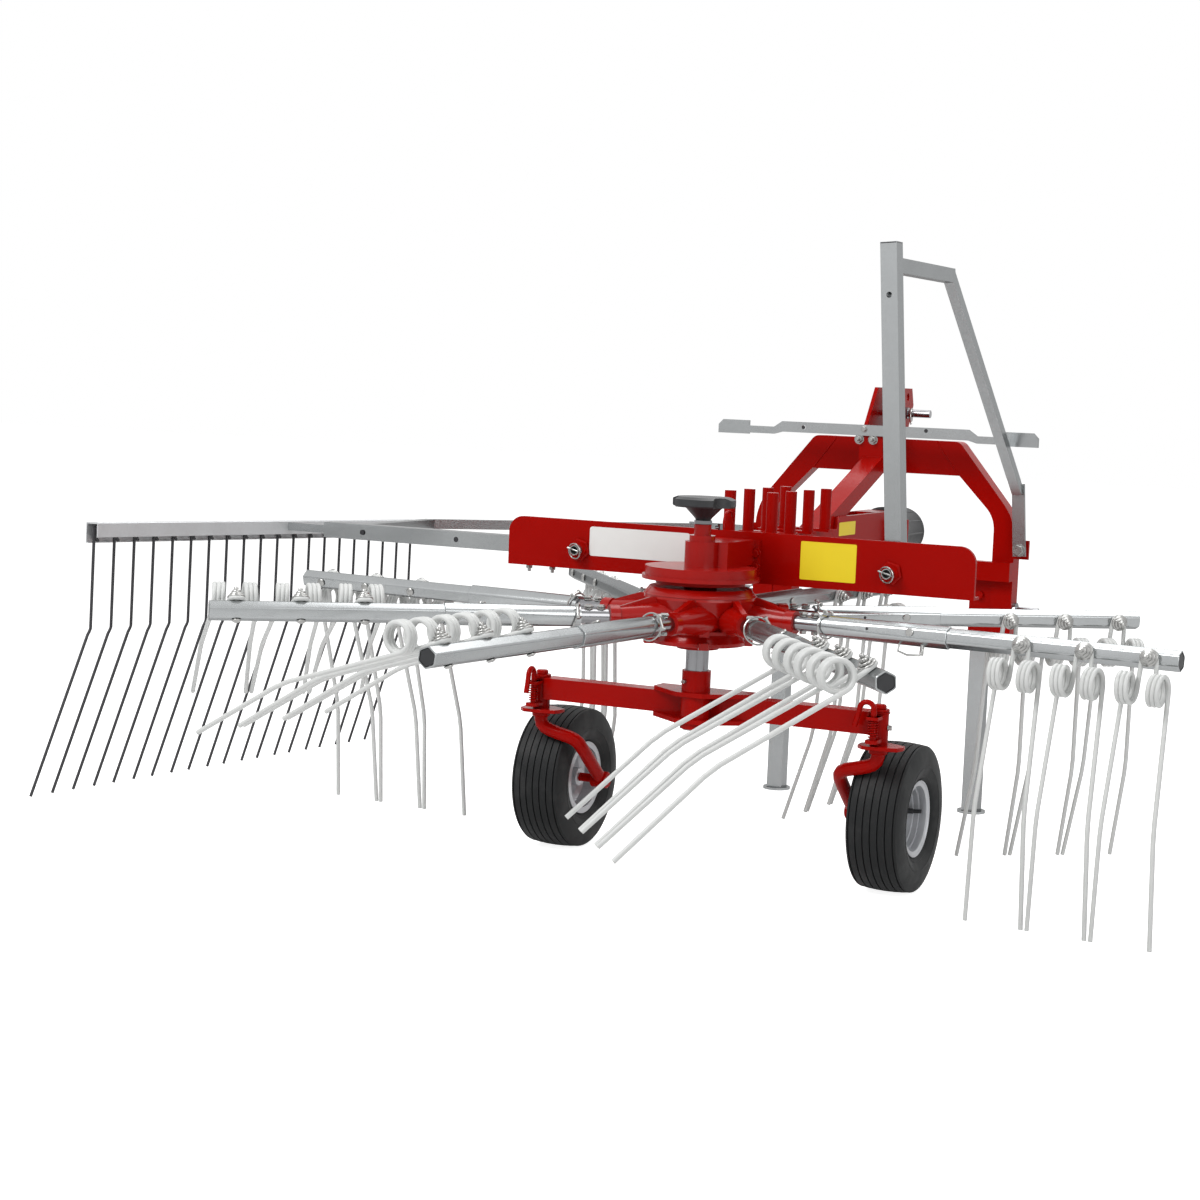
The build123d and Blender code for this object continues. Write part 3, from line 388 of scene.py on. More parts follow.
def tine_line(side):
    """Centre line of half a double tine in the arm's frame, from the loop over its bolt to the tip."""
    face = -TUBE_AF / 2 - WIRE_R - WIRE_GAP
    coil_y = face - COIL_R
    inner = HALF_SPAN - COIL_TURNS * WIRE_R + WIRE_R * 0.1
    width = 2 * COIL_TURNS * WIRE_R - WIRE_R * 0.6
    pts = [(0, face, 0.016), (0.007, face, 0.0165), (0.014, face, 0.012)]
    loop_x = 0.018
    loop_z = 0.004
    for t in (0.2, 0.5, 0.8):
        pts.append((loop_x + (inner - loop_x) * t, face, loop_z - (COIL_DROP + loop_z) * t * 0.9))
    steps = COIL_STEPS * COIL_TURNS
    for i in range(steps + 1):
        a = -2 * math.pi * COIL_TURNS * i / steps
        x = inner + width * i / steps
        pts.append((x, coil_y + COIL_R * math.cos(a), -COIL_DROP + COIL_R * math.sin(a)))
    fall = TINE_DROP - COIL_DROP
    start = (inner + width, face, -COIL_DROP)
    knee_y = face - UPPER_LEAN * fall * KNEE_SHARE
    knee = (start[0] + SPREAD * KNEE_SHARE, knee_y, -COIL_DROP - fall * KNEE_SHARE)
    foot = (start[0] + SPREAD, knee_y + LOWER_LEAN * fall * (1 - KNEE_SHARE), -TINE_DROP)
    pts += [between(start, knee, t) for t in (0.1, 0.3, 0.5, 0.7, 0.85, 0.94)]
    pts += [between(knee, foot, t) for t in (0.08, 0.25, 0.5, 0.75, 1.0)]
    return [(side * x, y, z) for x, y, z in pts]


double_tine = tine_line(-1)[:0:-1] + tine_line(1)
wall = TUBE_AF / 2
for k in ARMS:
    b = Build()
    arm = arm_matrix(k)
    for x in TINE_PLACES:
        place = arm @ Matrix.Translation((x, 0, 0))
        b.tube(double_tine, WIRE_R, sides=8, matrix=place)
        for face, rows in ((-1, TINE_NUT), (1, TINE_HEAD)):
            for near, far, r, sides, chamfer in rows:
                p = (0, face * (wall + near), 0)
                q = (0, face * (wall + far), 0)
                b.rod(p, q, r, sides, chamfer, mat=1, matrix=place)
    tine = b.make("spring_tines_%d" % (k + 1), [TINE, BOLT], "rotor", smooth=50)
    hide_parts("tines_%d" % (k + 1))

# Fasteners and small parts
ROOT_THREE = 1.732
HEX = 6
SUNK = 0.001
WASHER_THICK = 0.002
THREAD_SHARE = 0.28
RING_STEPS = 20
SPRING_STEPS = 12


def bolt(b, p, axis, af=0.019, head=0.009, washer=0.013, mat=0, stud=0.0):
    """Hexagon head on a washer at p, standing out along axis; stud adds a thread end beyond it."""
    p = Vector(p)
    d = Vector(axis).normalized()
    top = WASHER_THICK + head
    b.rod(p - d * SUNK, p + d * (WASHER_THICK + 0.0002), washer, 24, 0.0006, mat=mat)
    b.rod(p + d * WASHER_THICK, p + d * top, af / ROOT_THREE, HEX, 0.0012, mat=mat)
    if stud:
        b.rod(p + d * (top - SUNK), p + d * (top + stud), af * THREAD_SHARE, 12, 0.0008, mat=mat)


def ring_pin(b, p, axis, size, wire_r):
    """Linch pin seen as a wire ring in the plane across axis."""
    d = Vector(axis).normalized()
    u = d.orthogonal().normalized()
    v = d.cross(u)
    loop = [Vector(p) + (u * math.cos(a) + v * math.sin(a)) * size for a in angles(RING_STEPS)]
    b.tube(loop, wire_r, sides=6, closed=True)


def spring(b, p, q, r, turns, wire_r):
    """Coil spring from p to q."""
    p = Vector(p)
    q = Vector(q)
    d = (q - p).normalized()
    u = d.orthogonal().normalized()
    v = d.cross(u)
    steps = turns * SPRING_STEPS
    pts = []
    for i in range(steps + 1):
        a = 2 * math.pi * i / SPRING_STEPS
        pts.append(p + (q - p) * (i / steps) + (u * math.cos(a) + v * math.sin(a)) * r)
    b.tube(pts, wire_r, sides=6)


def centre_of(node):
    """Middle of a node's box."""
    low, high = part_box(node)
    return Vector([(a + b) / 2 for a, b in zip(low, high)])


# Wheels
TREAD_GROOVES = (-0.0615, -0.041, -0.0205, 0.0, 0.0205, 0.041, 0.0615)
TREAD_EDGE = 0.0665
CROWN_R = 0.2026
CROWN_DROP = 0.0050
GROOVE_TOP = 0.0019
GROOVE_FLOOR = 0.0012
GROOVE_DEPTH = 0.0045
BEAD_EDGE = 0.0585
BEAD_R = 0.091
WHEEL_BOLTS = 4
WHEEL_BOLT_CIRCLE = 0.053
DISC_FACE = 0.0060
HUB_FACE = 0.020
HUB_BARREL = ((-0.049, 0.0127), (-0.049, 0.0240), (-0.047, 0.0260), (0.017, 0.0260), (0.019, 0.0240),
              (0.019, 0.0127))


def tread_radius(u):
    """Crown of the tread at u metres from its middle."""
    return CROWN_R - CROWN_DROP * (u / TREAD_EDGE) ** 2


def tyre_profile():
    """(along, radius) points round the whole tyre section, grooves included."""
    shoulder = [(0.0690, 0.1955), (0.0705, 0.191), (0.0730, 0.184), (0.0758, 0.173), (0.0775, 0.161)]
    wall_rib = [(0.0787, 0.150), (0.0785, 0.143), (0.0792, 0.1425), (0.0792, 0.139), (0.0782, 0.1385)]
    lower_wall = [(0.0745, 0.126), (0.070, 0.1175), (0.0705, 0.1165), (0.0690, 0.1135), (0.0655, 0.1105),
                  (0.0615, 0.1065), (0.0590, 0.1035)]
    outside = shoulder + wall_rib + lower_wall
    tread = [(-TREAD_EDGE, tread_radius(-TREAD_EDGE))]
    for g in TREAD_GROOVES:
        r = tread_radius(g)
        floor = r - GROOVE_DEPTH
        tread += [(g - GROOVE_TOP, r), (g - GROOVE_FLOOR, floor)]
        tread += [(g + GROOVE_FLOOR, floor), (g + GROOVE_TOP, r)]
    tread.append((TREAD_EDGE, tread_radius(TREAD_EDGE)))
    inside = [(BEAD_EDGE, BEAD_R), (-BEAD_EDGE, BEAD_R)]
    return [(-u, r) for u, r in reversed(outside)] + tread + outside + inside


def rim_profile():
    """Dished rim, positive toward the outer side of the wheel."""
    inner_lip = [(-0.064, 0.0865), (-0.064, 0.1035), (-0.0615, 0.1038), (-0.0590, 0.1010),
                 (-0.0575, 0.0915)]
    well = [(-0.030, 0.0895), (0.030, 0.0895)]
    outer_lip = [(0.0575, 0.0915), (0.0590, 0.1010), (0.0615, 0.1038), (0.0638, 0.1035), (0.0632, 0.1005),
                 (0.0612, 0.0990), (0.0600, 0.0940), (0.0590, 0.0890), (0.0480, 0.0870)]
    dish = [(0.0400, 0.0885), (0.0385, 0.0840), (0.0250, 0.0830), (0.0235, 0.0780), (0.0110, 0.0760),
            (0.0070, 0.0640)]
    disc = [(0.0060, 0.0440), (0.0110, 0.0360), (0.0190, 0.0330), (0.0200, 0.0290), (0.0200, 0.0130)]
    back = [(-0.0040, 0.0130), (-0.0040, 0.0600), (-0.0060, 0.0760), (-0.0200, 0.0850), (-0.0550, 0.0855)]
    return inner_lip + well + outer_lip + dish + disc + back


for side, label in SIDES:
    c = centre_of("tyre_" + label)
    b = Build()
    b.lathe(tyre_profile(), c, (1, 0, 0), sides=144)
    tyre = b.make("ribbed_tyre_" + label, [RUBBER], "wheel_" + label, smooth=28)
    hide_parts("tyre_" + label)
    b = Build()
    b.lathe([(u * side, r) for u, r in rim_profile()], c, (1, 0, 0), sides=96)
    b.lathe([(u * side, r) for u, r in HUB_BARREL], c, (1, 0, 0), sides=40)
    for a in angles(WHEEL_BOLTS):
        ahead = math.cos(a + math.pi / 4) * WHEEL_BOLT_CIRCLE
        up = math.sin(a + math.pi / 4) * WHEEL_BOLT_CIRCLE
        spot = c + Vector((side * DISC_FACE, ahead, up))
        bolt(b, spot, (side, 0, 0), af=0.017, head=0.010, washer=0.012, mat=2)
    bolt(b, c + Vector((side * HUB_FACE, 0, 0)), (side, 0, 0), af=0.024, head=0.010, washer=0.017, mat=2)
    root = c + Vector((side * DISC_FACE, 0.062, 0.006))
    stem = Vector((side * 0.046, 0.008, 0.002))
    b.rod(root, root + stem * 0.5, 0.0075, 16, 0.001, mat=1)
    b.rod(root + stem * 0.45, root + stem, 0.0058, 16, 0.0012, mat=1)
    rim = b.make("dished_rim_" + label, [RIM, PLASTIC, BOLT], "wheel_" + label, smooth=30)
    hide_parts("rim_" + label)

# Arm tubes of drawn steel: place along the arm, size across flats and corner radius of each step
SLEEVE_AF = 0.054
ARM_TIP = 1.300
TUBE_STEPS = (
    (0.341, 0.040, 0.008),
    (0.341, SLEEVE_AF, 0.024),
    (0.400, SLEEVE_AF, 0.023),
    (0.520, SLEEVE_AF, 0.015),
    (0.640, SLEEVE_AF, 0.011),
    (0.699, SLEEVE_AF, 0.010),
    (0.700, 0.0525, 0.010),
    (0.700, TUBE_AF, 0.008),
    (1.299, TUBE_AF, 0.008),
    (ARM_TIP, 0.0455, 0.008),
    (ARM_TIP, 0.0405, 0.006),
    (1.288, 0.0400, 0.006),
)


def drawn_section(x, across, corner):
    """Loop of a six-sided tube at `x` along an arm, its corners rounded to radius `corner`."""
    loop = []
    reach = (across / 2 - corner) / math.cos(math.pi / 6)
    for i in range(HEX):
        middle = math.pi / 6 + i * math.pi / 3
        for j in range(-3, 4):
            a = middle + j * math.pi / 18
            y = reach * math.cos(middle) + corner * math.cos(a)
            z = reach * math.sin(middle) + corner * math.sin(a)
            loop.append(Vector((x, y, z)))
    return loop


b = Build()
for k in ARMS:
    b.rings([drawn_section(*step) for step in TUBE_STEPS], matrix=arm_matrix(k))
tubes = b.make("drawn_arm_tubes", [GALV], "rotor", smooth=25)
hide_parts("tine_arms")

# Arm fittings: stub bolts, clamp collar, lock button, hole drawn as a black disc (painted shade of its
# inside), spring clip and end plug, black, which on open-ended arms is painted shade of the tube's inside
STUB_BOLTS = (0.283, 0.317)
COLLAR_X = 0.352
COLLAR_R = 0.0345
COLLAR_SKEW = 0.010
COLLAR_STEPS = 28
EAR_Z = 0.034
BUTTON_X = 0.600
HOLE_X = 0.480
CLIP = ((0.566, -0.006, -0.026), (0.566, -0.010, -0.046), (0.592, -0.010, -0.054),
        (0.626, -0.010, -0.052), (0.634, -0.008, -0.040), (0.630, -0.006, -0.026))
CLIP_PIN = ((0.630, -0.006, -0.020), (0.630, -0.006, -0.052))
PLUG_R = 0.0214
PLUG_INSET = 0.0045


def hexagon(r):
    """Outline of a hexagon with its corners at radius r."""
    return [(r * math.cos(a), r * math.sin(a)) for a in angles(HEX)]


for k in ARMS:
    arm = arm_matrix(k)
    upright = arm @ Matrix.Rotation(math.radians(ROLL[k]), 4, "X")
    b = Build()
    for x in STUB_BOLTS:
        b.rod((x, 0, 0.0185), (x, 0, 0.0215), 0.0115, 24, 0.0006, matrix=upright)
        b.rod((x, 0, 0.0210), (x, 0, 0.0310), 0.0125, HEX, 0.0040, matrix=upright)
        b.rod((x, 0, -0.0185), (x, 0, -0.0275), 0.0095, HEX, 0.001, matrix=upright)
    band = [(COLLAR_X + COLLAR_SKEW * math.cos(a), COLLAR_R * math.cos(a), COLLAR_R * math.sin(a))
            for a in angles(COLLAR_STEPS)]
    b.tube(band, 0.0024, sides=8, closed=True, matrix=arm)
    b.rod((COLLAR_X, -0.020, EAR_Z), (COLLAR_X, 0.020, EAR_Z), 0.0045, 12, 0.001, matrix=arm)
    for y in (-0.020, 0.014):
        b.rod((COLLAR_X, y, EAR_Z), (COLLAR_X, y + 0.006, EAR_Z), 0.0075, HEX, 0.001, matrix=arm)
    b.rod((BUTTON_X, -0.0265, 0.004), (BUTTON_X, -0.0320, 0.004), 0.0105, 24, 0.0016, matrix=arm)
    # Hole in the arm: a black disc, painted shade of the hole's inside
    b.rod((HOLE_X, -0.0265, 0.002), (HOLE_X, -0.0273, 0.002), 0.0040, 16, mat=1, matrix=arm)
    b.tube(CLIP, 0.0028, sides=8, matrix=arm)
    b.rod(*CLIP_PIN, 0.0055, 12, 0.001, matrix=arm)
    # End plug: black, as the real plug on some arms; on the arms with open ends it is painted shade of the
    # tube's dark inside
    end = arm @ Matrix.Translation((ARM_TIP - PLUG_INSET, 0, 0)) @ Matrix.Rotation(math.pi / 2, 4, "Y")
    b.slab(hexagon(PLUG_R), 0.004, end, mat=1, bevel=0.0008)
    b.make("arm_fasteners_%d" % (k + 1), [BOLT, PLASTIC], "rotor")


def rounded(x0, x1, z0, z1, r, steps=6):
    """Outline of a plate with round corners, counter-clockwise."""
    corners = ((x1 - r, z1 - r), (x0 + r, z1 - r), (x0 + r, z0 + r), (x1 - r, z0 + r))
    pts = []
    for turn, (cx, cz) in enumerate(corners):
        for i in range(steps + 1):
            a = math.radians(90 * turn + 90 * i / steps)
            pts.append((cx + r * math.cos(a), cz + r * math.sin(a)))
    return pts


# Films: corners and corner radius of each, on the rear plate and on the right side of the beam
FILM = 0.0006
FILM_EDGE = 0.0002
PLATE_REAR = 199.0
BEAM_SIDE = 45
SIGNS = (
    ((-0.435, -0.125, 0.845, 0.928, 0.008), WHITE, "white_sign"),
    ((0.205, 0.365, 0.825, 0.929, 0.004), YELLOW, "yellow_sign"),
)
LABEL = (0.925, 1.068, 0.899, 0.940, 0.003)
stand_up = Matrix.Rotation(math.pi / 2, 4, "X")
for corners, look, name in SIGNS:
    b = Build()
    b.slab(rounded(*corners), FILM, Matrix.Translation(at(0, PLATE_REAR, 0)) @ stand_up, bevel=FILM_EDGE)
    b.make(name, [look], "frame")
b = Build()
side_face = Matrix.Translation(at(BEAM_SIDE, 0, 0)) @ Matrix.Rotation(math.pi / 2, 4, "Z") @ stand_up
b.slab(rounded(*LABEL), FILM, side_face, bevel=FILM_EDGE)
b.make("yellow_label", [YELLOW], "frame")

# Fasteners of the frame, in millimetres from the rotor axis
HINGE_X = 464
HINGE_Z = 860
HINGE_FRONT = 1421
HINGE_PIN = ((0, 0.0105), (0, 0.0145), (-0.022, 0.0145), (-0.0235, 0.0135), (-0.0235, 0.0115),
             (-0.004, 0.0105))
PLATE_BOLTS = ((81, 852), (81, 888))
HANGING_BOLTS = (-641, -566)
HEAD_FLANGE = 184
LIP_MIDDLE = 229
STRIP_BOLTS = (-49, -3)
STRIP_REAR = 1318
STRIP_HOLES = ((-237, 1215), (174, 1222))
CLEVIS_SIDE = 60
TOP_PIN_Y = 1508
b = Build()
for s in (-1, 1):
    hinge = at(s * HINGE_X, PLATE_REAR, HINGE_Z)
    spot = at(s * HINGE_X, PLATE_REAR - 16, HINGE_Z)
    b.rod(hinge, at(s * HINGE_X, PLATE_REAR - 11, HINGE_Z), 0.033, HEX, 0.005, mat=2)
    b.lathe(HINGE_PIN, spot, (0, 1, 0), sides=32)
    # Black disc at the bottom of the hollow pin's bore: painted shade of the bore
    b.rod(spot, spot + Vector((0, -0.0045, 0)), 0.0112, 24, mat=1)
    ring_pin(b, spot + Vector((-0.002, -0.016, -0.003)), (0.30, 1, 0.15), size=0.0215, wire_r=0.0021)
    stem = (spot + Vector((-0.025, -0.016, 0.006)), spot + Vector((0.020, -0.016, -0.006)))
    b.rod(*stem, 0.0028, 12, 0.0006)
    bolt(b, at(s * HINGE_X, HINGE_FRONT, HINGE_Z), (0, -1, 0), af=0.030, head=0.012, washer=0.020)
    for x, z in PLATE_BOLTS:
        bolt(b, at(s * x, HEAD_FLANGE, z), (0, -1, 0), washer=0.014, mat=2)
for x in HANGING_BOLTS:
    b.rod(at(x, LIP_MIDDLE, 806), at(x, LIP_MIDDLE, 784), 0.0050, 12, 0.001)
    b.rod(at(x, LIP_MIDDLE, 802), at(x, LIP_MIDDLE, 793), 0.0095, HEX, 0.001)
for x in STRIP_BOLTS:
    bolt(b, at(x, STRIP_REAR + 10, 1186), (0, -1, 0), af=0.021, head=0.010, washer=0.016, stud=0.014)
bolt(b, at(-31, STRIP_REAR, 1219), (0, -1, 0), af=0.015, head=0.007, washer=0.011)
# Holes in the strip: black discs, painted shade of their insides
for x, z in STRIP_HOLES:
    b.rod(at(x, STRIP_REAR - 0.3, z), at(x, STRIP_REAR - 0.8, z), 0.006, 16, mat=1)
ring_pin(b, at(CLEVIS_SIDE, TOP_PIN_Y, 1262), (1, 0.2, 0), size=0.024, wire_r=0.0022)
b.rod(at(CLEVIS_SIDE, TOP_PIN_Y, 1290), at(CLEVIS_SIDE, TOP_PIN_Y, 1252), 0.0038, 12, 0.001)
ring_pin(b, at(-CLEVIS_SIDE, TOP_PIN_Y, 1262), (1, 0.2, 0), size=0.020, wire_r=0.0020)
b.make("frame_fasteners", [BOLT, BLACK, RED], "frame")

# Nut under the handwheel, with its small cross pin
NUT_R = 0.0262
NUT_Z = 969.2
b = Build()
b.slab(hexagon(NUT_R), 0.0115, Matrix.Translation(at(0, 0, NUT_Z)), bevel=0.0012)
b.rod(at(30, 14, 962), at(47, 20, 964), 0.0052, 14, 0.001)
b.rod(at(43, 18, 956), at(43, 18, 973), 0.0075, HEX, 0.001)
b.make("post_nut", [BRIGHT], "frame")

# Hook for the hoses on the left of the beam
HOOK = ((234, 928), (236, 965), (244, 985), (262, 993), (285, 990), (300, 976), (306, 962))
b = Build()
b.tube([at(-40, y, z) for y, z in HOOK], 0.0040)
b.make("hose_hook", [RED], "frame")

# Weld beads along the mitres of the headstock and at the foot of the brace
HEADSTOCK_REAR = 1447.6
MITRE = ((172, 1184), (190.5, 1159.5), (209, 1135), (227.5, 1110.5), (246, 1086))
BRACE_SIDE = 33.5
BEAM_TOP = 922.5
BRACE_FOOT = (790, 820, 850)
b = Build()
for s in (-1, 1):
    mitre = [at(s * x, HEADSTOCK_REAR, z) for x, z in MITRE]
    b.tube(mitre, 0.0022, sides=8)
    foot = [at(s * BRACE_SIDE, y, BEAM_TOP) for y in BRACE_FOOT]
    b.tube(foot, 0.0035, sides=8)
b.make("weld_beads", [RED], "frame")

# Castors, in millimetres: pivot, lock pin, wheel axle, arm of the right one and its lock plate
PIVOT_X = 500
PIVOT_Y = 65
LOCK_Y = 15
AXLE_Y = 230
AXLE_Z = 203
CASTOR_R = 0.0185
CASTOR_ARM = ((500, 65, 412), (500, 65, 388), (496, 65, 374), (486, 66, 364), (470, 67, 357),
              (440, 70, 349), (412, 74, 342), (397, 79, 335), (389, 88, 325), (386, 100, 312),
              (385, 120, 295), (385, 160, 261), (385, 200, 228), (385, 230, 203))
LOCK_PLATE_Z = 411
LOCK_PLATE = ((-48, -8), (-44, -40), (-26, -60), (30, -60), (66, -44), (74, -20), (70, 8), (24, 34),
              (-24, 34))
# Steps of the pivot and of the axle: start, end, radius, sides and chamfer
PIVOT_STEPS = (
    (407, 394, 0.0250, 28, 0.003),
    (416, 512, 0.0158, 24, 0.0),
    (507, 514, 0.0250, 28, 0.001),
    (513, 526, 0.0165, 24, 0.003),
)
AXLE_STEPS = (
    (362, 412, 0.0235, 28, 0.003),
    (400, 519, 0.0122, 20, 0.001),
)
# Handle of a lock pin: its wire, radius and height of its bend, and the way it points on each side
HANDLE_WIRE_R = 0.0072
HANDLE_R = 19
HANDLE_Z = 517
HANDLE_WAY = {"left": (0.06, -1.0), "right": (-1.0, -0.1)}
EARS = (490, 428)
for s, label in SIDES:
    b = Build()
    x = s * PIVOT_X
    out_x, out_y = HANDLE_WAY[label]
    half_turn = [math.pi * i / 10 for i in range(11)]
    bend = [(HANDLE_R - HANDLE_R * math.cos(a), HANDLE_Z + HANDLE_R * math.sin(a)) for a in half_turn]
    route = [(0, 500), (0, 509)] + bend + [(42, 498), (50, 470)]
    b.tube([at(x + u * out_x, LOCK_Y + u * out_y, z) for u, z in route], HANDLE_WIRE_R, sides=12)
    b.rod(at(x, PIVOT_Y, 503), at(x, PIVOT_Y, 506), 0.0275, 32, 0.001)
    for z in EARS:
        ear = rounded(-0.017, 0.017, -0.018, 0.030, 0.008)
        b.slab(ear, 0.009, Matrix.Translation(at(x, LOCK_Y, z)), bevel=0.001)
    spring(b, at(x, LOCK_Y, 442), at(x, LOCK_Y, 488), 0.0125, 7, 0.0017)
    bolt(b, at(x + 24, PIVOT_Y, 466), (1, 0.2, 0), af=0.013, head=0.008, washer=0.009, mat=1)
    b.make("lock_pin_fittings_" + label, [RED, BOLT], "axle")
    b = Build()
    b.tube([at(s * px, py, pz) for px, py, pz in CASTOR_ARM], CASTOR_R, sides=24)
    plate = [(u / 1000, v / 1000) for u, v in LOCK_PLATE]
    b.slab(plate, 0.010, Matrix.Translation(at(x, PIVOT_Y, LOCK_PLATE_Z)), bevel=0.0012)
    for near, far, r, sides, chamfer in PIVOT_STEPS:
        b.rod(at(x, PIVOT_Y, near), at(x, PIVOT_Y, far), r, sides, chamfer)
    for near, far, r, sides, chamfer in AXLE_STEPS:
        b.rod(at(s * near, AXLE_Y, AXLE_Z), at(s * far, AXLE_Y, AXLE_Z), r, sides, chamfer)
    turned = b.make("bent_castor_" + label, [RED], "castor_" + label, smooth=40)
    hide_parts("castor_" + label)

# Grease nipple on the axle's middle
b = Build()
nipple = at(-16, -35, 548)
d = Vector((-0.35, -0.94, 0.0))
b.rod(nipple, nipple + d * 0.010, 0.0055, HEX, 0.0008)
b.rod(nipple + d * 0.009, nipple + d * 0.017, 0.0034, 12, 0.001)
b.make("grease_nipple", [BOLT], "axle")

# Holes in the lowered guard's leg, drawn as black discs on its rear face: painted shade of the holes'
# insides
LEG_HOLES = (-882, -1206)
b = Build()
for x in LEG_HOLES:
    b.rod(at(x, 218.9, HINGE_Z), at(x, 219.4, HINGE_Z), 0.008, 20)
b.make("leg_holes_painted_shade", [BLACK], "guard_left")

# Curtain: folded bar with its deep flange toward the rotor, and bent rods hooked into it
CURTAIN_X = -1500
BAR_ENDS = (-674, 1000)
BAR_SECTION = ((-20, 819), (-20, 874), (-18, 876), (18, 876), (20, 874), (20, 836), (17, 836), (17, 872),
               (-17, 872), (-17, 822), (-11, 822), (-11, 819))
RODS = 20
FIRST_ROD = -664
ROD_PITCH = 87.2
ROD_R = 0.0042
ROD_SWAY = 7
SWAY_STEP = 3.1
HOOK_R = 0.0046
BAR_TOP = 872
BAR_TILT = math.radians(-1.9)
pivot = at(CURTAIN_X, LEG_Y, BAR_TOP)
tilt = Matrix.Translation(pivot) @ Matrix.Rotation(BAR_TILT, 4, "X") @ Matrix.Translation(-pivot)
b = Build()
b.rings([[at(CURTAIN_X + x, y, z) for x, z in BAR_SECTION] for y in BAR_ENDS], matrix=tilt)
bar = b.make("curtain_channel", [SHEET], "curtain", smooth=30)
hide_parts("curtain_bar")
b = Build()
for k in range(RODS):
    y = FIRST_ROD + k * ROD_PITCH
    # The foremost hook turns back, so that it stays on the bar
    lead = -1 if k == RODS - 1 else 1
    sway = ROD_SWAY * math.sin(SWAY_STEP * k)
    rod_line = ((0, 0, BAR_TOP), (0, 0, 840), (0, 0, 588), (-1, -3, 580), (-3, -8, 570),
                (-40, -172 + sway, 143))
    hook_line = ((0, 0, 858), (-5, lead * 12, 846), (-11, lead * 26, 829), (-12, lead * 32, 824))
    b.tube([at(CURTAIN_X + dx, y + dy, z) for dx, dy, z in rod_line], ROD_R, matrix=tilt)
    b.tube([at(CURTAIN_X + dx, y + dy, z) for dx, dy, z in hook_line], HOOK_R, sides=8, matrix=tilt)
    b.rod(at(CURTAIN_X, y, BAR_TOP + 0.5), at(CURTAIN_X, y, 866), 0.0085, 16, 0.001, matrix=tilt)
rods = b.make("bent_curtain_rods", [BLACK], "curtain", smooth=40)
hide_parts("curtain_rods")

# Moulded bell round the drive stub
BELL_FOOT = 1448
BELL_Z = 882
BELL = ((0.000, 0.031), (0.000, 0.081), (0.004, 0.086), (0.012, 0.086), (0.016, 0.083), (0.185, 0.076),
        (0.192, 0.079), (0.199, 0.079), (0.199, 0.074), (0.014, 0.079), (0.005, 0.078), (0.005, 0.031))
RIBS = 12
RIB_R = 0.0028
b = Build()
b.lathe(BELL, at(0, BELL_FOOT, BELL_Z), (0, 1, 0), sides=72)
for a in angles(RIBS):
    out = Vector((math.cos(a), 0, math.sin(a)))
    start = at(0, BELL_FOOT + 18, BELL_Z) + out * 0.0815
    stop = at(0, BELL_FOOT + 182, BELL_Z) + out * 0.0762
    b.rod(start, stop, RIB_R, 8)
bell = b.make("ribbed_bell", [PLASTIC], "frame", smooth=30)
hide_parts("pto_guard")

# Casting skin between the hub's sockets, down to its lower skirt, with lugs and webs
SKIRT = ((0.788, 0.100), (0.788, 0.148), (0.774, 0.152), (0.754, 0.145), (0.728, 0.129), (0.706, 0.115),
         (0.690, 0.111), (0.674, 0.117), (0.6630, 0.1255), (0.6600, 0.128), (0.6520, 0.128),
         (0.6500, 0.126), (0.6495, 0.060), (0.6580, 0.0585), (0.700, 0.050), (0.740, 0.060))
LUGS = 4
LUG_TURN = 0.8
LUG = (0.104, 0.147, -0.014, 0.014, 0.006)
LUG_Z = 0.6465
WEB = ((0.070, 0.692), (0.104, 0.678), (0.120, 0.661), (0.070, 0.661))
WEB_TURN = 0.35
WEB_FACES = (-0.004, 0.004)
b = Build()
b.lathe([(z - ARM_Z, r) for z, r in SKIRT], (AX, AY, ARM_Z), (0, 0, 1), sides=72)
for k in range(LUGS):
    turn = Matrix.Rotation(FIRST_ARM + (k * 2 + LUG_TURN) * ARM_STEP, 4, "Z")
    b.slab(rounded(*LUG), 0.019, Matrix.Translation((AX, AY, LUG_Z)) @ turn, bevel=0.0015)
for k in ARMS:
    turn = Matrix.Translation((AX, AY, 0)) @ Matrix.Rotation(FIRST_ARM + k * ARM_STEP + WEB_TURN, 4, "Z")
    b.rings([[(x, y, z) for x, z in WEB] for y in WEB_FACES], matrix=turn)
b.make("hub_skirt", [CAST], "rotor")

# Dark cap on the folded guard's leg, which leans in
LEAN = math.radians(4)
LEG_LENGTH = 0.878
CAP_SINK = 0.0056
leg_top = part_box("guard_right")[1][2]
leg_x = AX + HINGE_X / 1000 - math.sin(LEAN) * LEG_LENGTH
b = Build()
cap = rounded(-0.0235, 0.0235, -0.0255, 0.0255, 0.003)
cap_place = Matrix.Translation((leg_x, AY + LEG_Y / 1000, leg_top - CAP_SINK))
lean = cap_place @ Matrix.Rotation(-LEAN, 4, "Y")
b.slab(cap, 0.003, lean, bevel=0.0008)
b.make("leg_cap", [PLASTIC], "guard_right")

# Floor, background and lamps
FLOOR_SIZE = 60
FLOOR_WHITE = 0.82
FLOOR_GLOW = 0.90
FLOOR_IN_MIRRORS = 0.25
SKY_LIGHT = 0.32
AIM = (AX, AY + 0.3, 0.8)


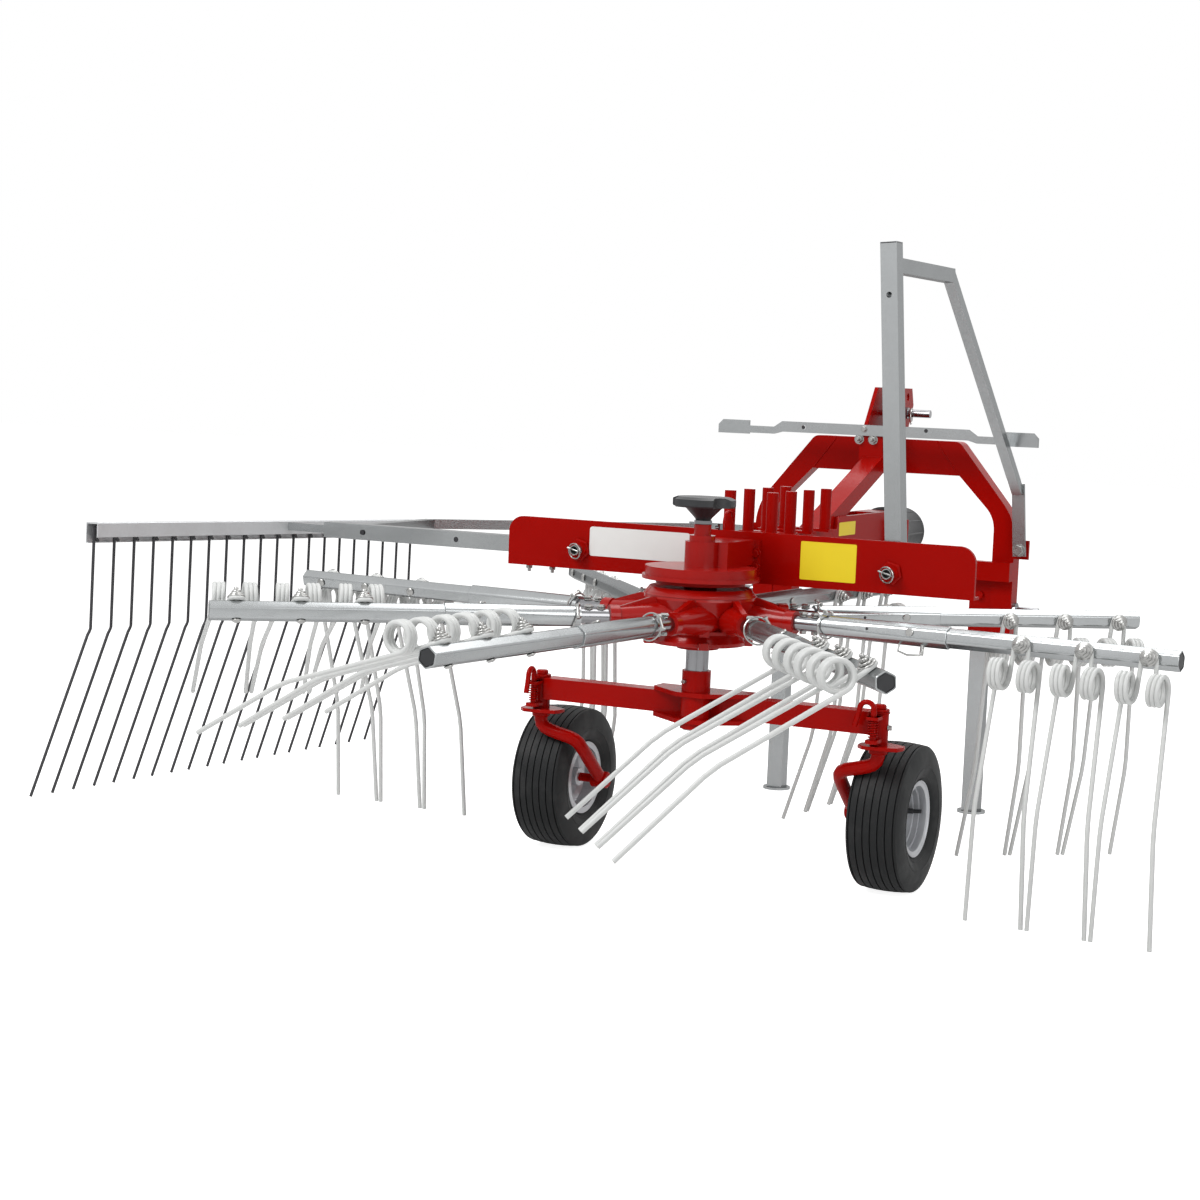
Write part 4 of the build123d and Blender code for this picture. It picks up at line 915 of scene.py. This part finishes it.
def stage():
    """White floor that glows for the camera, and a white sky that lights the machine less than it shows."""
    bpy.ops.mesh.primitive_plane_add(size=FLOOR_SIZE, location=(AX, AY, 0))
    floor = bpy.context.object
    floor.name = "floor"
    white = bpy.data.materials.new("floor_white")
    white.use_nodes = True
    tree = white.node_tree
    shader = tree.nodes["Principled BSDF"]
    shader.inputs["Base Color"].default_value = (FLOOR_WHITE, FLOOR_WHITE, FLOOR_WHITE, 1)
    shader.inputs["Roughness"].default_value = 0.9
    shader.inputs["Specular IOR Level"].default_value = 0.0
    shader.inputs["Emission Color"].default_value = (1, 1, 1, 1)
    rays = tree.nodes.new("ShaderNodeLightPath").outputs
    seen = reckoned(tree, "MULTIPLY_ADD", rays["Is Glossy Ray"], FLOOR_IN_MIRRORS, rays["Is Camera Ray"])
    glow = reckoned(tree, "MULTIPLY", seen, FLOOR_GLOW)
    tree.links.new(glow, shader.inputs["Emission Strength"])
    floor.data.materials.append(white)

    world = bpy.data.worlds.new("world")
    bpy.context.scene.world = world
    world.use_nodes = True
    tree = world.node_tree
    sky = tree.nodes["Background"]
    sky.inputs["Color"].default_value = (1, 1, 1, 1)
    rays = tree.nodes.new("ShaderNodeLightPath").outputs
    seen = reckoned(tree, "MAXIMUM", rays["Is Camera Ray"], rays["Is Glossy Ray"])
    seen = reckoned(tree, "MAXIMUM", seen, rays["Is Transmission Ray"])
    power = ranged(tree, seen, SKY_LIGHT, 1.0)
    tree.links.new(power, sky.inputs["Strength"])


def lamp(name, where, size, watts):
    """Square lamp that looks at the machine."""
    data = bpy.data.lights.new(name, "AREA")
    data.size = size
    data.energy = watts
    obj = bpy.data.objects.new(name, data)
    bpy.context.scene.collection.objects.link(obj)
    obj.location = where
    obj.rotation_euler = (Vector(AIM) - Vector(where)).to_track_quat("-Z", "Y").to_euler()


stage()
lamp("key", (AX - 2.2, AY - 4.2, 5.2), 3.0, 265)
lamp("fill", (AX + 5.0, AY - 3.0, 3.2), 3.5, 95)
lamp("top", (AX + 0.5, AY + 2.5, 5.5), 4.0, 150)

# Camera: its place from the middle of the rotor, its turn in radians and its lens in the photo's pixels
EYE = (2.4230, -5.5505, 0.6182)
YAW = 0.4557
PITCH = 0.0967
CAMERA_ROLL = 0.0393
FOCAL_PIXELS = 2269.4
PHOTO_WIDTH = 1200
SENSOR = 36.0
FAR = 100


def camera():
    """Where the photo was taken from: right rear of the machine, seen along its length."""
    level = math.cos(PITCH)
    forward = Vector((-math.sin(YAW) * level, math.cos(YAW) * level, -math.sin(PITCH)))
    right = Vector((math.cos(YAW), math.sin(YAW), 0))
    up = right.cross(forward)
    rolled_right = right * math.cos(CAMERA_ROLL) + up * math.sin(CAMERA_ROLL)
    rolled_up = up * math.cos(CAMERA_ROLL) - right * math.sin(CAMERA_ROLL)
    data = bpy.data.cameras.new("camera")
    data.sensor_width = SENSOR
    data.lens = FOCAL_PIXELS / PHOTO_WIDTH * SENSOR
    data.clip_end = FAR
    obj = bpy.data.objects.new("camera", data)
    bpy.context.scene.collection.objects.link(obj)
    place = Matrix((rolled_right, rolled_up, -forward)).transposed().to_4x4()
    place.translation = Vector((AX + EYE[0], AY + EYE[1], ARM_Z + EYE[2]))
    obj.matrix_world = place
    bpy.context.scene.camera = obj


camera()
bpy.context.scene.view_settings.view_transform = "Standard"
